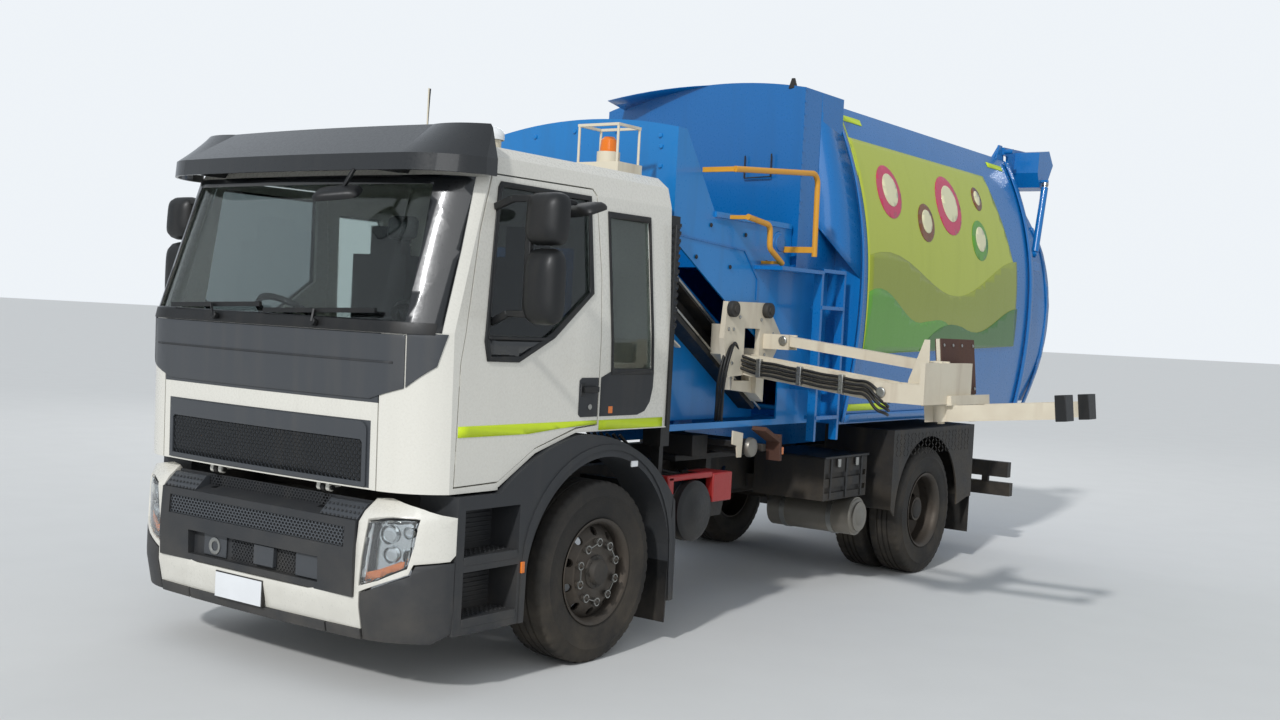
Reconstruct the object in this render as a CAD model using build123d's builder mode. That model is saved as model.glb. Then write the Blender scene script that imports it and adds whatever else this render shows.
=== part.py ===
"""Side-loading refuse truck, cab-over, two axles, arm reached out to the kerb side.

Millimetres, +Z up. The truck faces -Y and its kerb side is +X. The model is drawn about the
point on the ground under the front axle and moved to the middle of its box at the end.
"""
import os
from math import atan2, cos, degrees, hypot, radians, sin

from build123d import *

os.makedirs("parts", exist_ok=True)

# Clearances
SEAT = 0.3
FIT = 0.05
PANEL_GAP = 8.0

# Wheels and axles
WHEELBASE = 4300.0
TYRE_R = 510.0
TYRE_W = 300.0
TWIN_W = 272.0
TWIN_GAP = 42.0
FRONT_X = 1012.0
REAR_OUT_X = 1190.0
RIM_R = 287.0
RIM_WALL = 11.0
HUB_R = 92.0
SPINDLE_R = 36.0
KINGPIN_X = 852.0
KINGPIN_R = 20.0
AXLE_Z = TYRE_R

# Chassis
RAIL_OUT = 425.0
RAIL_H = 270.0
RAIL_FLANGE = 80.0
RAIL_T = 9.0
RAIL_TOP = 985.0
RAIL_FRONT = -1180.0
RAIL_REAR = 6230.0
RAIL_Z = RAIL_TOP - RAIL_H

# Cab
CAB_REAR = 600.0
CAB_BOTTOM = 1032.0
CAB_WALL = 42.0
GLASS_T = 6.0
TILT_Y = -1372.0
TILT_Z = 1002.0
STEER_R = 215.0
SILL_X = 1108.0
SILL_TOP = 1400.0
# z, half width, y where the side ends, corner x, corner y, middle y, rear y
CAB_SECTIONS = (
    (1032.0, 1150.0, -1225.0, 800.0, -1424.0, -1448.0, 600.0),
    (1820.0, 1150.0, -1240.0, 800.0, -1440.0, -1475.0, 600.0),
    (2600.0, 1112.0, -1005.0, 780.0, -1195.0, -1235.0, 600.0),
    (2715.0, 1085.0, -955.0, 760.0, -1120.0, -1160.0, 592.0),
    (2772.0, 1030.0, -890.0, 700.0, -1040.0, -1080.0, 560.0),
)

# Bumper
BUMPER_TOP = 968.0
LIP_LOW = 296.0
BUMPER_T = 70.0
BUMPER_SECTION = (1160.0, -1195.0, 800.0, -1462.0, -1488.0)
CENTRE_HALF = 772.0
PLATE_X = -71.0
TOW_X = -330.0
TOW_Y = -1452.0
TOW_Z = 600.0
TOW_R = 25.0
TOW_DEPTH = 60.0

# Body and hopper
BODY_FRONT = 2790.0
BODY_REAR = 6200.0
BODY_LOW = 1250.0
# half width and height of the body's side, from the sill up to the roof edge
BODY_SIDE = ((1150.0, 1250.0), (1232.0, 1750.0), (1258.0, 2300.0), (1190.0, 2890.0), (934.0, 3561.0))
BODY_EDGE_Z = 3561.0
BODY_TOP = 3645.0
COWL_TOP = 3690.0
COWL_EDGE_Z = 3584.0
BODY_WALL = 12.0
HOPPER_X = 1000.0
HOPPER_FRONT = 790.0
HOPPER_SKEW = 190.0
HOPPER_EDGE_Z = 3110.0
HOPPER_TOP = 3215.0
SILL_Z = 2640.0
SILL_FRONT = 1240.0
SILL_REAR = 2205.0
BULK_X = 1050.0
BULK_NEAR = 2225.0
BULK_FAR = 2760.0
TIP_Y = 6060.0
TIP_Z = 1075.0
SUB_LOW = 1015.0
HOIST_FOOT = (5560.0, 590.0)
HOIST_EYE = (5560.0, 1150.0)

# Tailgate
GATE_HINGE_Y = 6150.0
GATE_HINGE_Z = 3640.0
GATE_PIN_R = 22.0
GATE_EYE_Y = 6500.0
GATE_EYE_Z = 3400.0
GATE_FOOT_Y = 6330.0
GATE_FOOT_Z = 2715.0
GATE_CYL_X = 1222.0
GATE_INSET = 95.0

# Arm
TRACK_TOP_Y = 760.0
TRACK_TOP_Z = 2330.0
TRACK_LOW_Y = 2080.0
TRACK_LOW_Z = 1535.0
TRACK_GAUGE = 190.0
TRACK_X1 = 920.0
CARR_Y0 = 1390.0
CARR_Y1 = 1960.0
LINK_U0 = (1200.0, 1840.0)
LINK_L0 = (990.0, 1676.0)
LINK_REACH = (1070.0, -110.0)
UPPER_Y = 1905.0
LOWER_Y = 1700.0
HEAD_TILT = 6.0



def front_view(y):
    """Sketch plane facing the front at a given Y, with X across and Z up."""
    return Plane(origin=(0, y, 0), x_dir=(1, 0, 0), z_dir=(0, -1, 0))


def side_view(x):
    """Sketch plane seen from the kerb side at a given X, with Y across and Z up."""
    return Plane(origin=(x, 0, 0), x_dir=(0, 1, 0), z_dir=(1, 0, 0))


def corner_mid(a, b, bulge):
    """Middle point of an arc from a to b that stands out by a share of the chord."""
    dx, dy = b[0] - a[0], b[1] - a[1]
    return ((a[0] + b[0]) / 2 - dy * bulge, (a[1] + b[1]) / 2 + dx * bulge)


def plan_face(z, half, side_y, corner_x, corner_y, front_y, rear_y):
    """Plan of a cab-like form at a height: straight sides, round corners and a bowed front."""
    near, far = (half, side_y), (corner_x, corner_y)
    bend = corner_mid(near, far, 0.15)
    with BuildSketch(Plane.XY.offset(z)) as plan:
        with BuildLine():
            Line((half, rear_y), near)
            ThreePointArc(near, bend, far)
            ThreePointArc(far, (0, front_y), (-corner_x, corner_y))
            ThreePointArc((-corner_x, corner_y), (-bend[0], bend[1]), (-half, side_y))
            Line((-half, side_y), (-half, rear_y))
            Line((-half, rear_y), (half, rear_y))
        make_face()
    return plan.sketch


def cab_form(inset):
    """Cab form through its sections, drawn in by the inset on every side."""
    faces = []
    for z, half, side_y, corner_x, corner_y, front_y, rear_y in CAB_SECTIONS:
        drop = inset if z == CAB_SECTIONS[-1][0] else 0
        faces.append(plan_face(z - drop, half - inset, side_y + 0.3 * inset, corner_x - 0.5 * inset,
                               corner_y + inset, front_y + inset, rear_y - inset).face())
    with BuildPart() as form:
        loft(faces, ruled=True)
    return form.part


def box_between(x0, x1, y0, y1, z0, z1, mode=Mode.ADD):
    """Box from its six faces."""
    with Locations(((x0 + x1) / 2, (y0 + y1) / 2, (z0 + z1) / 2)):
        Box(abs(x1 - x0), abs(y1 - y0), abs(z1 - z0), mode=mode)


def rod_x(x0, x1, y, z, r, mode=Mode.ADD):
    """Round bar along X."""
    with Locations(Location(((x0 + x1) / 2, y, z), (0, 90, 0))):
        Cylinder(r, abs(x1 - x0), mode=mode)


def rod_y(y0, y1, x, z, r, mode=Mode.ADD):
    """Round bar along Y."""
    with Locations(Location((x, (y0 + y1) / 2, z), (90, 0, 0))):
        Cylinder(r, abs(y1 - y0), mode=mode)


def side_plate(points, x0, x1, mode=Mode.ADD):
    """Plate of a Y-Z outline between two X faces."""
    with BuildSketch(side_view(min(x0, x1))) as outline:
        with BuildLine():
            Polyline(*points, close=True)
        make_face()
    extrude(outline.sketch, amount=abs(x1 - x0), mode=mode)


def side_form(points, x0, x1):
    """The same plate as a form of its own."""
    with BuildPart() as form:
        side_plate(points, x0, x1)
    return form.part


def less(base, *cutters):
    """A form with others taken from it."""
    with BuildPart() as form:
        add(base)
        for cutter in cutters:
            add(cutter, mode=Mode.SUBTRACT)
    return form.part


def front_plate(points, y0, y1, mode=Mode.ADD):
    """Plate of an X-Z outline between two Y faces."""
    with BuildSketch(front_view(max(y0, y1))) as outline:
        with BuildLine():
            Polyline(*points, close=True)
        make_face()
    extrude(outline.sketch, amount=abs(y1 - y0), mode=mode)


def level_plate(points, z0, z1, mode=Mode.ADD):
    """Plate of an X-Y outline between two heights."""
    with BuildSketch(Plane.XY.offset(min(z0, z1))) as outline:
        with BuildLine():
            Polyline(*points, close=True)
        make_face()
    extrude(outline.sketch, amount=abs(z1 - z0), mode=mode)


pieces = []


def keep(part_builder, label):
    """Note a finished piece under its node name."""
    part_builder.part.label = label
    pieces.append(part_builder.part)


# Chassis frame

cross_members = (-1100.0, 640.0, 1960.0, 3400.0, 5040.0, 6150.0)

with BuildPart() as chassis_frame:
    with BuildSketch(front_view(RAIL_FRONT)):
        with BuildLine():
            Polyline((RAIL_OUT, RAIL_Z), (RAIL_OUT, RAIL_TOP), (RAIL_OUT - RAIL_FLANGE, RAIL_TOP),
                     (RAIL_OUT - RAIL_FLANGE, RAIL_TOP - RAIL_T), (RAIL_OUT - RAIL_T, RAIL_TOP - RAIL_T),
                     (RAIL_OUT - RAIL_T, RAIL_Z + RAIL_T), (RAIL_OUT - RAIL_FLANGE, RAIL_Z + RAIL_T),
                     (RAIL_OUT - RAIL_FLANGE, RAIL_Z), close=True)
        make_face()
        mirror(about=Plane.YZ)
    extrude(amount=RAIL_FRONT - RAIL_REAR)
    for y in cross_members:
        box_between(-RAIL_OUT + RAIL_T, RAIL_OUT - RAIL_T, y - 45, y + 45, RAIL_Z + 60, RAIL_TOP - 60)
    for sx in (-1, 1):
        # cab tilt bracket reaching over the bumper's top edge
        with BuildSketch(side_view(sx * 430 - 14)):
            with BuildLine():
                Polyline((RAIL_FRONT + 120, RAIL_Z + 40), (RAIL_FRONT + 120, RAIL_TOP), (TILT_Y,
                         TILT_Z + 24),
                         (TILT_Y - 20, TILT_Z), (TILT_Y + 12, TILT_Z - 22), (RAIL_FRONT - 60,
                                                                             RAIL_Z + 40),
                         close=True)
            make_face()
        extrude(amount=28)
        rod_x(sx * 430 - 14, sx * 430 + 14, TILT_Y, TILT_Z, 24)
        rod_x(sx * 430 - 60, sx * 430 + 60, TILT_Y, TILT_Z, 12)
        # body pivot lugs at the frame's rear end
        box_between(sx * 380 - 14, sx * 380 + 14, TIP_Y - 50, TIP_Y + 50, RAIL_TOP - 20, TIP_Z)
        rod_x(sx * 380 - 14, sx * 380 + 14, TIP_Y, TIP_Z, 50)
        for y in (2100, 3100, 4100, 5200):
            box_between(sx * 385 - 36, sx * 385 + 36, y - 60, y + 60, RAIL_TOP, SUB_LOW - SEAT)
    rod_x(-450, 450, TIP_Y, TIP_Z, 22)
    # hoist foot on a bearer hung between the rails
    foot_y, foot_z = HOIST_FOOT
    box_between(-360, 360, foot_y - 70, foot_y + 70, foot_z - 90, foot_z - 50)
    for sx in (-1, 1):
        box_between(sx * 348, sx * 362, foot_y - 70, foot_y + 70, foot_z - 90, RAIL_Z + 20)
        box_between(sx * 86 - 10, sx * 86 + 10, foot_y - 42, foot_y + 42, foot_z - 60, foot_z)
        rod_x(sx * 86 - 10, sx * 86 + 10, foot_y, foot_z, 42)
    rod_x(-96, 96, foot_y, foot_z, 20)
keep(chassis_frame, "chassis_frame")

# Front axle with leaf springs

with BuildPart() as front_axle:
    with BuildSketch(front_view(45)):
        with BuildLine():
            Polyline((-KINGPIN_X, AXLE_Z - 50), (-KINGPIN_X + 60, AXLE_Z - 50), (-640, AXLE_Z - 140),
                     (640, AXLE_Z - 140), (KINGPIN_X - 60, AXLE_Z - 50), (KINGPIN_X, AXLE_Z - 50),
                     (KINGPIN_X, AXLE_Z + 50), (620, AXLE_Z - 40), (-620, AXLE_Z - 40),
                     (-KINGPIN_X, AXLE_Z + 50), close=True)
        make_face()
    extrude(amount=90)
    for sx in (-1, 1):
        with Locations((sx * KINGPIN_X, 0, AXLE_Z)):
            Cylinder(46, 110)
            Cylinder(KINGPIN_R, 210)
        # three-leaf spring on its seat, tied to the rail at both eyes
        for half, z, t in ((640, AXLE_Z - 46, 22), (480, AXLE_Z - 25, 20), (300, AXLE_Z - 6, 20)):
            box_between(sx * 385 - 40, sx * 385 + 40, -half, half, z, z + t)
        for y in (-640, 610):
            box_between(sx * 385 - 36, sx * 385 + 36, y, y + 30, AXLE_Z - 40, RAIL_Z - SEAT)
keep(front_axle, "front_axle")

# Steering knuckles

for sx, side in ((1, "left"), (-1, "right")):
    with BuildPart() as knuckle:
        for z0 in (AXLE_Z + 55 + SEAT, AXLE_Z - 55 - SEAT - 34):
            with Locations((sx * KINGPIN_X, 0, z0 + 17)):
                Cylinder(44, 34)
            box_between(sx * KINGPIN_X, sx * (KINGPIN_X + 78), -44, 44, z0, z0 + 34)
        box_between(sx * (KINGPIN_X + 50), sx * (KINGPIN_X + 78), -60, 60, AXLE_Z - 90, AXLE_Z + 90)
        rod_x(sx * (KINGPIN_X + 60), sx * (FRONT_X + 92), 0, AXLE_Z, SPINDLE_R)
        # steering arm
        box_between(sx * (KINGPIN_X - 40), sx * (KINGPIN_X + 60), 60, 200, AXLE_Z - 85, AXLE_Z - 60)
        box_between(sx * (KINGPIN_X + 50), sx * (KINGPIN_X + 78), 40, 80, AXLE_Z - 90, AXLE_Z - 55)
        with Locations((sx * KINGPIN_X, 0, AXLE_Z)):
            Cylinder(KINGPIN_R + FIT, 400, mode=Mode.SUBTRACT)
    keep(knuckle, f"knuckle_{side}")

# Rear axle with springs

with BuildPart() as rear_axle:
    rod_x(-600, 600, WHEELBASE, AXLE_Z, 72)
    for half, r in ((110, 200), (170, 168), (230, 120)):
        rod_x(-half, half, WHEELBASE, AXLE_Z, r)
    rod_y(600, WHEELBASE - 100, 0, 640, 52)
    side_plate(((WHEELBASE - 260, 560), (WHEELBASE - 260, 700), (WHEELBASE - 100, 660),
               (WHEELBASE - 100, 440)),
               -70, 70)
    rod_x(-REAR_OUT_X + 70, REAR_OUT_X - 70, WHEELBASE, AXLE_Z, SPINDLE_R + 12)
    for sx in (-1, 1):
        for half, z, t in ((720, AXLE_Z + 60, 24), (540, AXLE_Z + 83, 22), (340, AXLE_Z + 104, 22)):
            box_between(sx * 385 - 45, sx * 385 + 45, WHEELBASE - half, WHEELBASE + half, z, z + t)
        for y in (-720, 690):
            box_between(sx * 385 - 38, sx * 385 + 38, WHEELBASE + y, WHEELBASE + y + 30,
                        AXLE_Z + 60, RAIL_Z - SEAT)
keep(rear_axle, "rear_axle")

# Engine, gearbox and shaft in one block each

with BuildPart() as engine_block:
    box_between(-300, 300, -540, 420, 600, 1185)
    box_between(-180, 180, 420, 590, 600, 900)
    for sx in (-1, 1):
        box_between(sx * 290, sx * (RAIL_OUT - RAIL_T - SEAT), -300, -220, 760, 820)
keep(engine_block, "engine_block")

# Wheels


def tyre_face(x_mid, y, width):
    """Half section of a tyre with sloping shoulders about an axle along X."""
    hw = width / 2
    wall_z = (RIM_R + TYRE_R) / 2 - 10
    with BuildSketch(Plane(origin=(x_mid, y, AXLE_Z), x_dir=(1, 0, 0), z_dir=(0, -1, 0))) as section:
        with BuildLine():
            Polyline((-hw + 30, RIM_R), (hw - 30, RIM_R), (hw, wall_z), (hw - 22, TYRE_R),
                     (-hw + 22, TYRE_R), (-hw, wall_z), close=True)
        make_face()
    return section.sketch


def rim_face(x_mid, y, width, disc_x, hub_x, out):
    """Half section of a rim with a pressed disc; out is the side the disc faces."""
    hw = width / 2 - 32
    with BuildSketch(Plane(origin=(x_mid, y, AXLE_Z), x_dir=(1, 0, 0), z_dir=(0, -1, 0))) as section:
        with BuildLine():
            Polyline((-hw, RIM_R - RIM_WALL), (-hw, RIM_R - SEAT), (hw, RIM_R - SEAT), (hw,
                     RIM_R - RIM_WALL),
                     close=True)
        make_face()
        with BuildLine():
            Polyline((out * (disc_x - 22), RIM_R - RIM_WALL), (out * (disc_x - 6), RIM_R - RIM_WALL),
                     (out * (hub_x + 12), 190), (out * (hub_x + 12), HUB_R - 4), (out * hub_x, HUB_R - 4),
                     (out * hub_x, 184), close=True)
        make_face()
    return section.sketch


def hand_holes(x_mid, y, disc_x, hub_x, out):
    """Ten round holes through a wheel disc."""
    with Locations(Location((x_mid + out * (disc_x + hub_x) / 2, y, AXLE_Z), (0, 90, 0))):
        with PolarLocations(226, 10):
            Cylinder(24, 160, mode=Mode.SUBTRACT)


for sx, side in ((1, "left"), (-1, "right")):
    with BuildPart() as front_tyre:
        revolve(tyre_face(sx * FRONT_X, 0, TYRE_W), axis=Axis((0, 0, AXLE_Z), (1, 0, 0)))
    keep(front_tyre, f"front_tyre_{side}")

    with BuildPart() as front_rim:
        revolve(rim_face(sx * FRONT_X, 0, TYRE_W, 70, 112, sx), axis=Axis((0, 0, AXLE_Z), (1, 0, 0)))
        hand_holes(sx * FRONT_X, 0, 70, 112, sx)
        rod_x(sx * (FRONT_X - 70), sx * (FRONT_X + 124), 0, AXLE_Z, HUB_R)
        rod_x(sx * (FRONT_X + 124), sx * (FRONT_X + 150), 0, AXLE_Z, 62)
        rod_x(sx * (FRONT_X - 75), sx * (FRONT_X + 100), 0, AXLE_Z, SPINDLE_R + FIT, mode=Mode.SUBTRACT)
    keep(front_rim, f"front_rim_{side}")

    twin_out = REAR_OUT_X - TWIN_W / 2
    twin_in = twin_out - TWIN_W - TWIN_GAP
    with BuildPart() as rear_tyres:
        for x in (twin_out, twin_in):
            revolve(tyre_face(sx * x, WHEELBASE, TWIN_W), axis=Axis((0, WHEELBASE, AXLE_Z), (1, 0, 0)))
    keep(rear_tyres, f"rear_tyres_{side}")

    joint_x = (twin_out + twin_in) / 2
    with BuildPart() as rear_rims:
        for x, hub_x, out in ((twin_out, twin_out - joint_x - 12, -sx), (twin_in,
                              joint_x - twin_in - 12, sx)):
            revolve(rim_face(sx * x, WHEELBASE, TWIN_W, 60, hub_x, out),
                    axis=Axis((0, WHEELBASE, AXLE_Z), (1, 0, 0)))
            hand_holes(sx * x, WHEELBASE, 60, hub_x, out)
        rod_x(sx * (joint_x - 80), sx * (twin_out + 60), WHEELBASE, AXLE_Z, HUB_R + 2)
        rod_x(sx * (joint_x - 85), sx * (REAR_OUT_X - 65), WHEELBASE, AXLE_Z, SPINDLE_R + 12 + FIT,
              mode=Mode.SUBTRACT)
    keep(rear_rims, f"rear_rims_{side}")

# Bumper

with BuildPart() as front_bumper:
    half, side_y, corner_x, corner_y, front_y = BUMPER_SECTION
    extrude(plan_face(LIP_LOW, half, side_y, corner_x, corner_y, front_y, -900),
            amount=BUMPER_TOP - LIP_LOW)
    extrude(plan_face(LIP_LOW - 5, half - BUMPER_T, side_y + 10, corner_x - 30, corner_y + BUMPER_T,
                      front_y + BUMPER_T, -890), amount=BUMPER_TOP - LIP_LOW + 10, mode=Mode.SUBTRACT)
    box_between(-1300, 1300, -1190, -800, LIP_LOW - 10, BUMPER_TOP + 10, mode=Mode.SUBTRACT)
    box_between(-CENTRE_HALF, CENTRE_HALF, -1600, -1100, 500, BUMPER_TOP + 10, mode=Mode.SUBTRACT)
    for sx in (-1, 1):
        box_between(sx * 826, sx * 1060, -1600, -1100, 556, 893, mode=Mode.SUBTRACT)
    # the top slopes back from the lamps
    side_plate(((-1520, 880), (-1462, 897), (-1362, BUMPER_TOP + 2), (-1520, BUMPER_TOP + 2)),
               -1300, 1300,
               mode=Mode.SUBTRACT)
    for sx in (-1, 1):
        box_between(sx * 330, sx * 420, -1425, RAIL_FRONT - SEAT, 420, 480)
        box_between(sx * 350, sx * 410, -1230, RAIL_FRONT - SEAT, 420, RAIL_TOP - 20)
    box_between(PLATE_X - 186, PLATE_X + 186, -1500, -1440, 346, 480)
keep(front_bumper, "front_bumper")

with BuildPart() as bumper_grille:
    side_plate(((-1300, 902), (-1350, BUMPER_TOP), (-1364, BUMPER_TOP), (-1364, 910), (-1476, 880),
                (-1486, 690), (-1478, 504), (-1410, 504), (-1400, 840)),
               -CENTRE_HALF + SEAT, CENTRE_HALF - SEAT)
    # honeycomb band and lower intake recesses, towing socket
    box_between(-700, 700, -1500, -1466, 742, 842, mode=Mode.SUBTRACT)
    box_between(-520, 520, -1500, -1440, 540, 668, mode=Mode.SUBTRACT)
    rod_y(TOW_Y, TOW_Y + TOW_DEPTH, TOW_X, TOW_Z, TOW_R + 19)
    rod_y(TOW_Y - 8, TOW_Y + TOW_DEPTH + 8, TOW_X, TOW_Z, TOW_R, mode=Mode.SUBTRACT)
    for sx in (-1, 1):
        box_between(sx * 380 - 30, sx * 380 + 30, -1412, -1230 - SEAT, 700, 760)
        box_between(sx * 430 - 22, sx * 430 + 22, -1402, -1290, 850, 980, mode=Mode.SUBTRACT)
keep(bumper_grille, "bumper_grille")

with BuildPart() as headlamps:
    extrude(plan_face(556 + SEAT, half - 6, side_y, corner_x, corner_y + 6, front_y + 6, -900),
            amount=893 - 556 - 2 * SEAT)
    box_between(-826 - SEAT, 826 + SEAT, -1600, -800, 500, 950, mode=Mode.SUBTRACT)
    for sx in (-1, 1):
        box_between(sx * (1060 - SEAT), sx * 1300, -1600, -800, 500, 950, mode=Mode.SUBTRACT)
    box_between(-1300, 1300, -1260, -800, 500, 950, mode=Mode.SUBTRACT)
    box_between(-950, 950, -1340, -1200, 500, 950, mode=Mode.SUBTRACT)
keep(headlamps, "headlamps")

# Steps and arches of the front wheels

with BuildPart() as front_guards:
    for sx in (-1, 1):
        with BuildSketch(side_view(sx * 1050 - 130)):
            with BuildLine():
                Polyline((-1185, 330), (-1185, 1018), (-880, 1018))
                ThreePointArc((-880, 1018), (-590, 1190), (-256, 1288))
                ThreePointArc((-256, 1288), (10, 1270), (251, 1196))
                ThreePointArc((251, 1196), (560, 1010), (700, 860))
                Polyline((700, 860), (725, 600), (725, 262), (668, 262), (650, 600))
                ThreePointArc((650, 600), (0, AXLE_Z + 650), (-650, 600))
                Polyline((-650, 600), (-665, 330), (-1185, 330))
            make_face()
        extrude(amount=260)
        # two treads let into the side
        for z in (392, 700):
            box_between(sx * 985, sx * 1300, -1130, -720, z, z + 250, mode=Mode.SUBTRACT)
        # carriers back to the frame
        for y in (-1000, 690):
            box_between(sx * (RAIL_OUT + SEAT), sx * 930, y - 20, y + 20, 745, 785)
keep(front_guards, "front_guards")

# Tanks, boxes and canisters on the frame

with BuildPart() as tanks:
    rod_x(430, 1120, 3215, 545, 143)
    rod_x(1110, 1150, 3215, 545, 110)
    box_between(RAIL_OUT + SEAT, 470, 3165, 3265, 640, 760)
    with BuildSketch(front_view(1250)):
        with Locations((-805, 690)):
            RectangleRounded(620, 560, 90)
    extrude(amount=-1150)
    for y in (1400, 2250):
        box_between(-495, -RAIL_OUT - SEAT, y - 25, y + 25, 800, 900)
keep(tanks, "tanks")

with BuildPart() as side_boxes:
    box_between(520, 1105, 2700, 3375, 692, 1000)
    for z in (745, 850):
        box_between(1090, 1120, 2720, 3355, z, z + 40, mode=Mode.SUBTRACT)
    rod_x(640, 1115, 1010, 765, 186)
    box_between(RAIL_OUT + SEAT, 700, 960, 1060, 730, 800)
    box_between(RAIL_OUT + SEAT, 560, 2750, 3100, 720, 820)
    rod_x(700, 1060, 1760, 1120, 55)
    box_between(RAIL_OUT + SEAT, 720, 1730, 1790, 800, 1120)
    side_plate(((1230, 980), (1230, 820), (1290, 700), (1420, 700), (1455, 820), (1440, 980)), 860, 1050)
    box_between(RAIL_OUT + SEAT, 870, 1290, 1380, 860, 900)
keep(side_boxes, "side_boxes")

# Rear guards, rear bar

with BuildPart() as rear_guards:
    front_y, rear_y = WHEELBASE - 670, WHEELBASE + 900
    for sx in (-1, 1):
        with BuildSketch(side_view(sx * 900 - 300)):
            with BuildLine():
                Polyline((front_y, 700), (front_y, 1178), (rear_y, 1178), (rear_y, 560),
                         (rear_y - 80, 560),
                         (WHEELBASE + 600, AXLE_Z))
                ThreePointArc((WHEELBASE + 600, AXLE_Z), (WHEELBASE, AXLE_Z + 600),
                              (WHEELBASE - 600, AXLE_Z))
                Polyline((WHEELBASE - 600, AXLE_Z), (front_y, AXLE_Z + 60), (front_y, 700))
            make_face()
        extrude(amount=600)
        box_between(sx * 580, sx * 1188, front_y + 12, rear_y - 12, 500, 1164, mode=Mode.SUBTRACT)
        for y in (front_y + 10, rear_y - 10):
            box_between(sx * (RAIL_OUT + SEAT), sx * 620, y - 10, y + 10, 800, 900)
keep(rear_guards, "rear_guards")

with BuildPart() as rear_bar:
    box_between(-1150, 1150, 6240, 6320, 470, 590)
    for sx in (-1, 1):
        box_between(sx * 385 - 35, sx * 385 + 35, RAIL_REAR + SEAT, 6300, 590, RAIL_TOP)
        box_between(sx * 700, sx * 1120, 6250, 6330, 640, 780)
        box_between(sx * 900 - 30, sx * 900 + 30, 6260, 6300, 590, 640)
keep(rear_bar, "rear_bar")

# Air intake behind the cab

with BuildPart() as snorkel:
    box_between(960, 1090, 640, 730, 1180, 2560)
    for i in range(14):
        box_between(952, 1098, 634, 736, 1900 + i * 46, 1920 + i * 46)
    box_between(RAIL_OUT + SEAT, 1020, 735, 775, 880, 940)
    box_between(960, 1020, 735, 775, 880, 1230)
    box_between(960, 1020, 700, 775, 1180, 1230)
keep(snorkel, "snorkel")

# Cab

ARCH_CUT = ((-872, 900), (-872, 1044), (-590, 1206), (-256, 1302), (300, 1302), (700, 1302), (700, 900))
FLOOR_CUT = ((-912, 900), (-912, 1092), (-600, 1246), (-262, 1342), (300, 1342), (700, 1342), (700, 900))
DOOR_LEFT_EDGE = ((-1200, 1060), (-1190, 1669), (-1071, 2334), (-985, 2629), (-152, 2636), (-119, 2600),
                  (-67, 2162), (-65, 1427), (-66, 1336), (-250, 1322), (-600, 1226), (-880, 1068))
WINDOW = ((-908, 2576), (-194, 2576), (-166, 2064), (-488, 1830), (-754, 1700), (-985, 1700),
          (-1010, 1800),
          (-925, 2548))
REAR_WINDOW = ((-12, 2500), (373, 2500), (429, 1640), (45, 1640))
SCREEN = ((-1010, 1850), (1010, 1850), (950, 2560), (-950, 2560))


def shrunk(points, gap):
    """Outline moved in towards its middle by about the gap on each side."""
    cy = sum(p[0] for p in points) / len(points)
    cz = sum(p[1] for p in points) / len(points)
    return tuple((p[0] - gap * (1 if p[0] > cy else -1),
                 p[1] - gap * (1 if p[1] > cz else -1)) for p in points)


with BuildPart() as cab_hull:
    add(cab_form(0))
    side_plate(ARCH_CUT, -1300, 1300, mode=Mode.SUBTRACT)

with BuildPart() as cab_hollow:
    add(cab_form(CAB_WALL))
    side_plate(FLOOR_CUT, -1300, 1300, mode=Mode.SUBTRACT)
    box_between(-1300, 1300, -2000, 1000, 1000, CAB_BOTTOM + 40, mode=Mode.SUBTRACT)

with BuildPart() as cab_skin:
    add(cab_hull.part)
    add(cab_hollow.part, mode=Mode.SUBTRACT)

glass_skin = less(cab_form(10), cab_form(10 + GLASS_T))
cab_clear = cab_form(-SEAT)


def door_zone(sx, gap):
    """Space of a door in the cab's side, outside the edge of the floor; the gap draws it in."""
    with BuildPart() as zone:
        side_plate(shrunk(DOOR_LEFT_EDGE, gap), sx * 1000, sx * 1300)
        box_between(sx * 990, sx * (SILL_X - PANEL_GAP + gap), -1400, 100, 1000, SILL_TOP + gap,
                    mode=Mode.SUBTRACT)
    return zone.part


with BuildPart() as cab_shell:
    add(cab_skin.part)
    for sx in (-1, 1):
        add(door_zone(sx, 0), mode=Mode.SUBTRACT)
        side_plate(REAR_WINDOW, sx * 1000, sx * 1300, mode=Mode.SUBTRACT)
    front_plate(SCREEN, -1700, -900, mode=Mode.SUBTRACT)
    # the flap's opening, with a wall behind it
    box_between(-852, 852, -1600, -1380, CAB_BOTTOM - 20, 1804, mode=Mode.SUBTRACT)
    box_between(-900, 900, -1374, -1340, CAB_BOTTOM + 30, 1812)
    # rear window
    box_between(-420, 420, 500, 700, 1900, 2350, mode=Mode.SUBTRACT)
    for sx in (-1, 1):
        # hinge ears under the floor
        for dx in (-34, 34):
            box_between(sx * 430 + dx - 12, sx * 430 + dx + 12, TILT_Y - 18, TILT_Y + 60, TILT_Z,
                        CAB_BOTTOM + 42)
            rod_x(sx * 430 + dx - 12, sx * 430 + dx + 12, TILT_Y, TILT_Z, 20)
        rod_x(sx * 430 - 80, sx * 430 + 80, TILT_Y, TILT_Z, 12 + FIT, mode=Mode.SUBTRACT)
keep(cab_shell, "cab_shell")

with BuildPart() as panes:
    front_plate(shrunk(SCREEN, SEAT), -1700, -900)
    for sx in (-1, 1):
        side_plate(shrunk(REAR_WINDOW, SEAT), sx * 1000, sx * 1300)
    box_between(-420 + SEAT, 420 - SEAT, 500, 700, 1900 + SEAT, 2350 - SEAT)

with BuildPart() as cab_glass:
    add(glass_skin)
    add(panes.part, mode=Mode.INTERSECT)
keep(cab_glass, "cab_glass")

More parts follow.
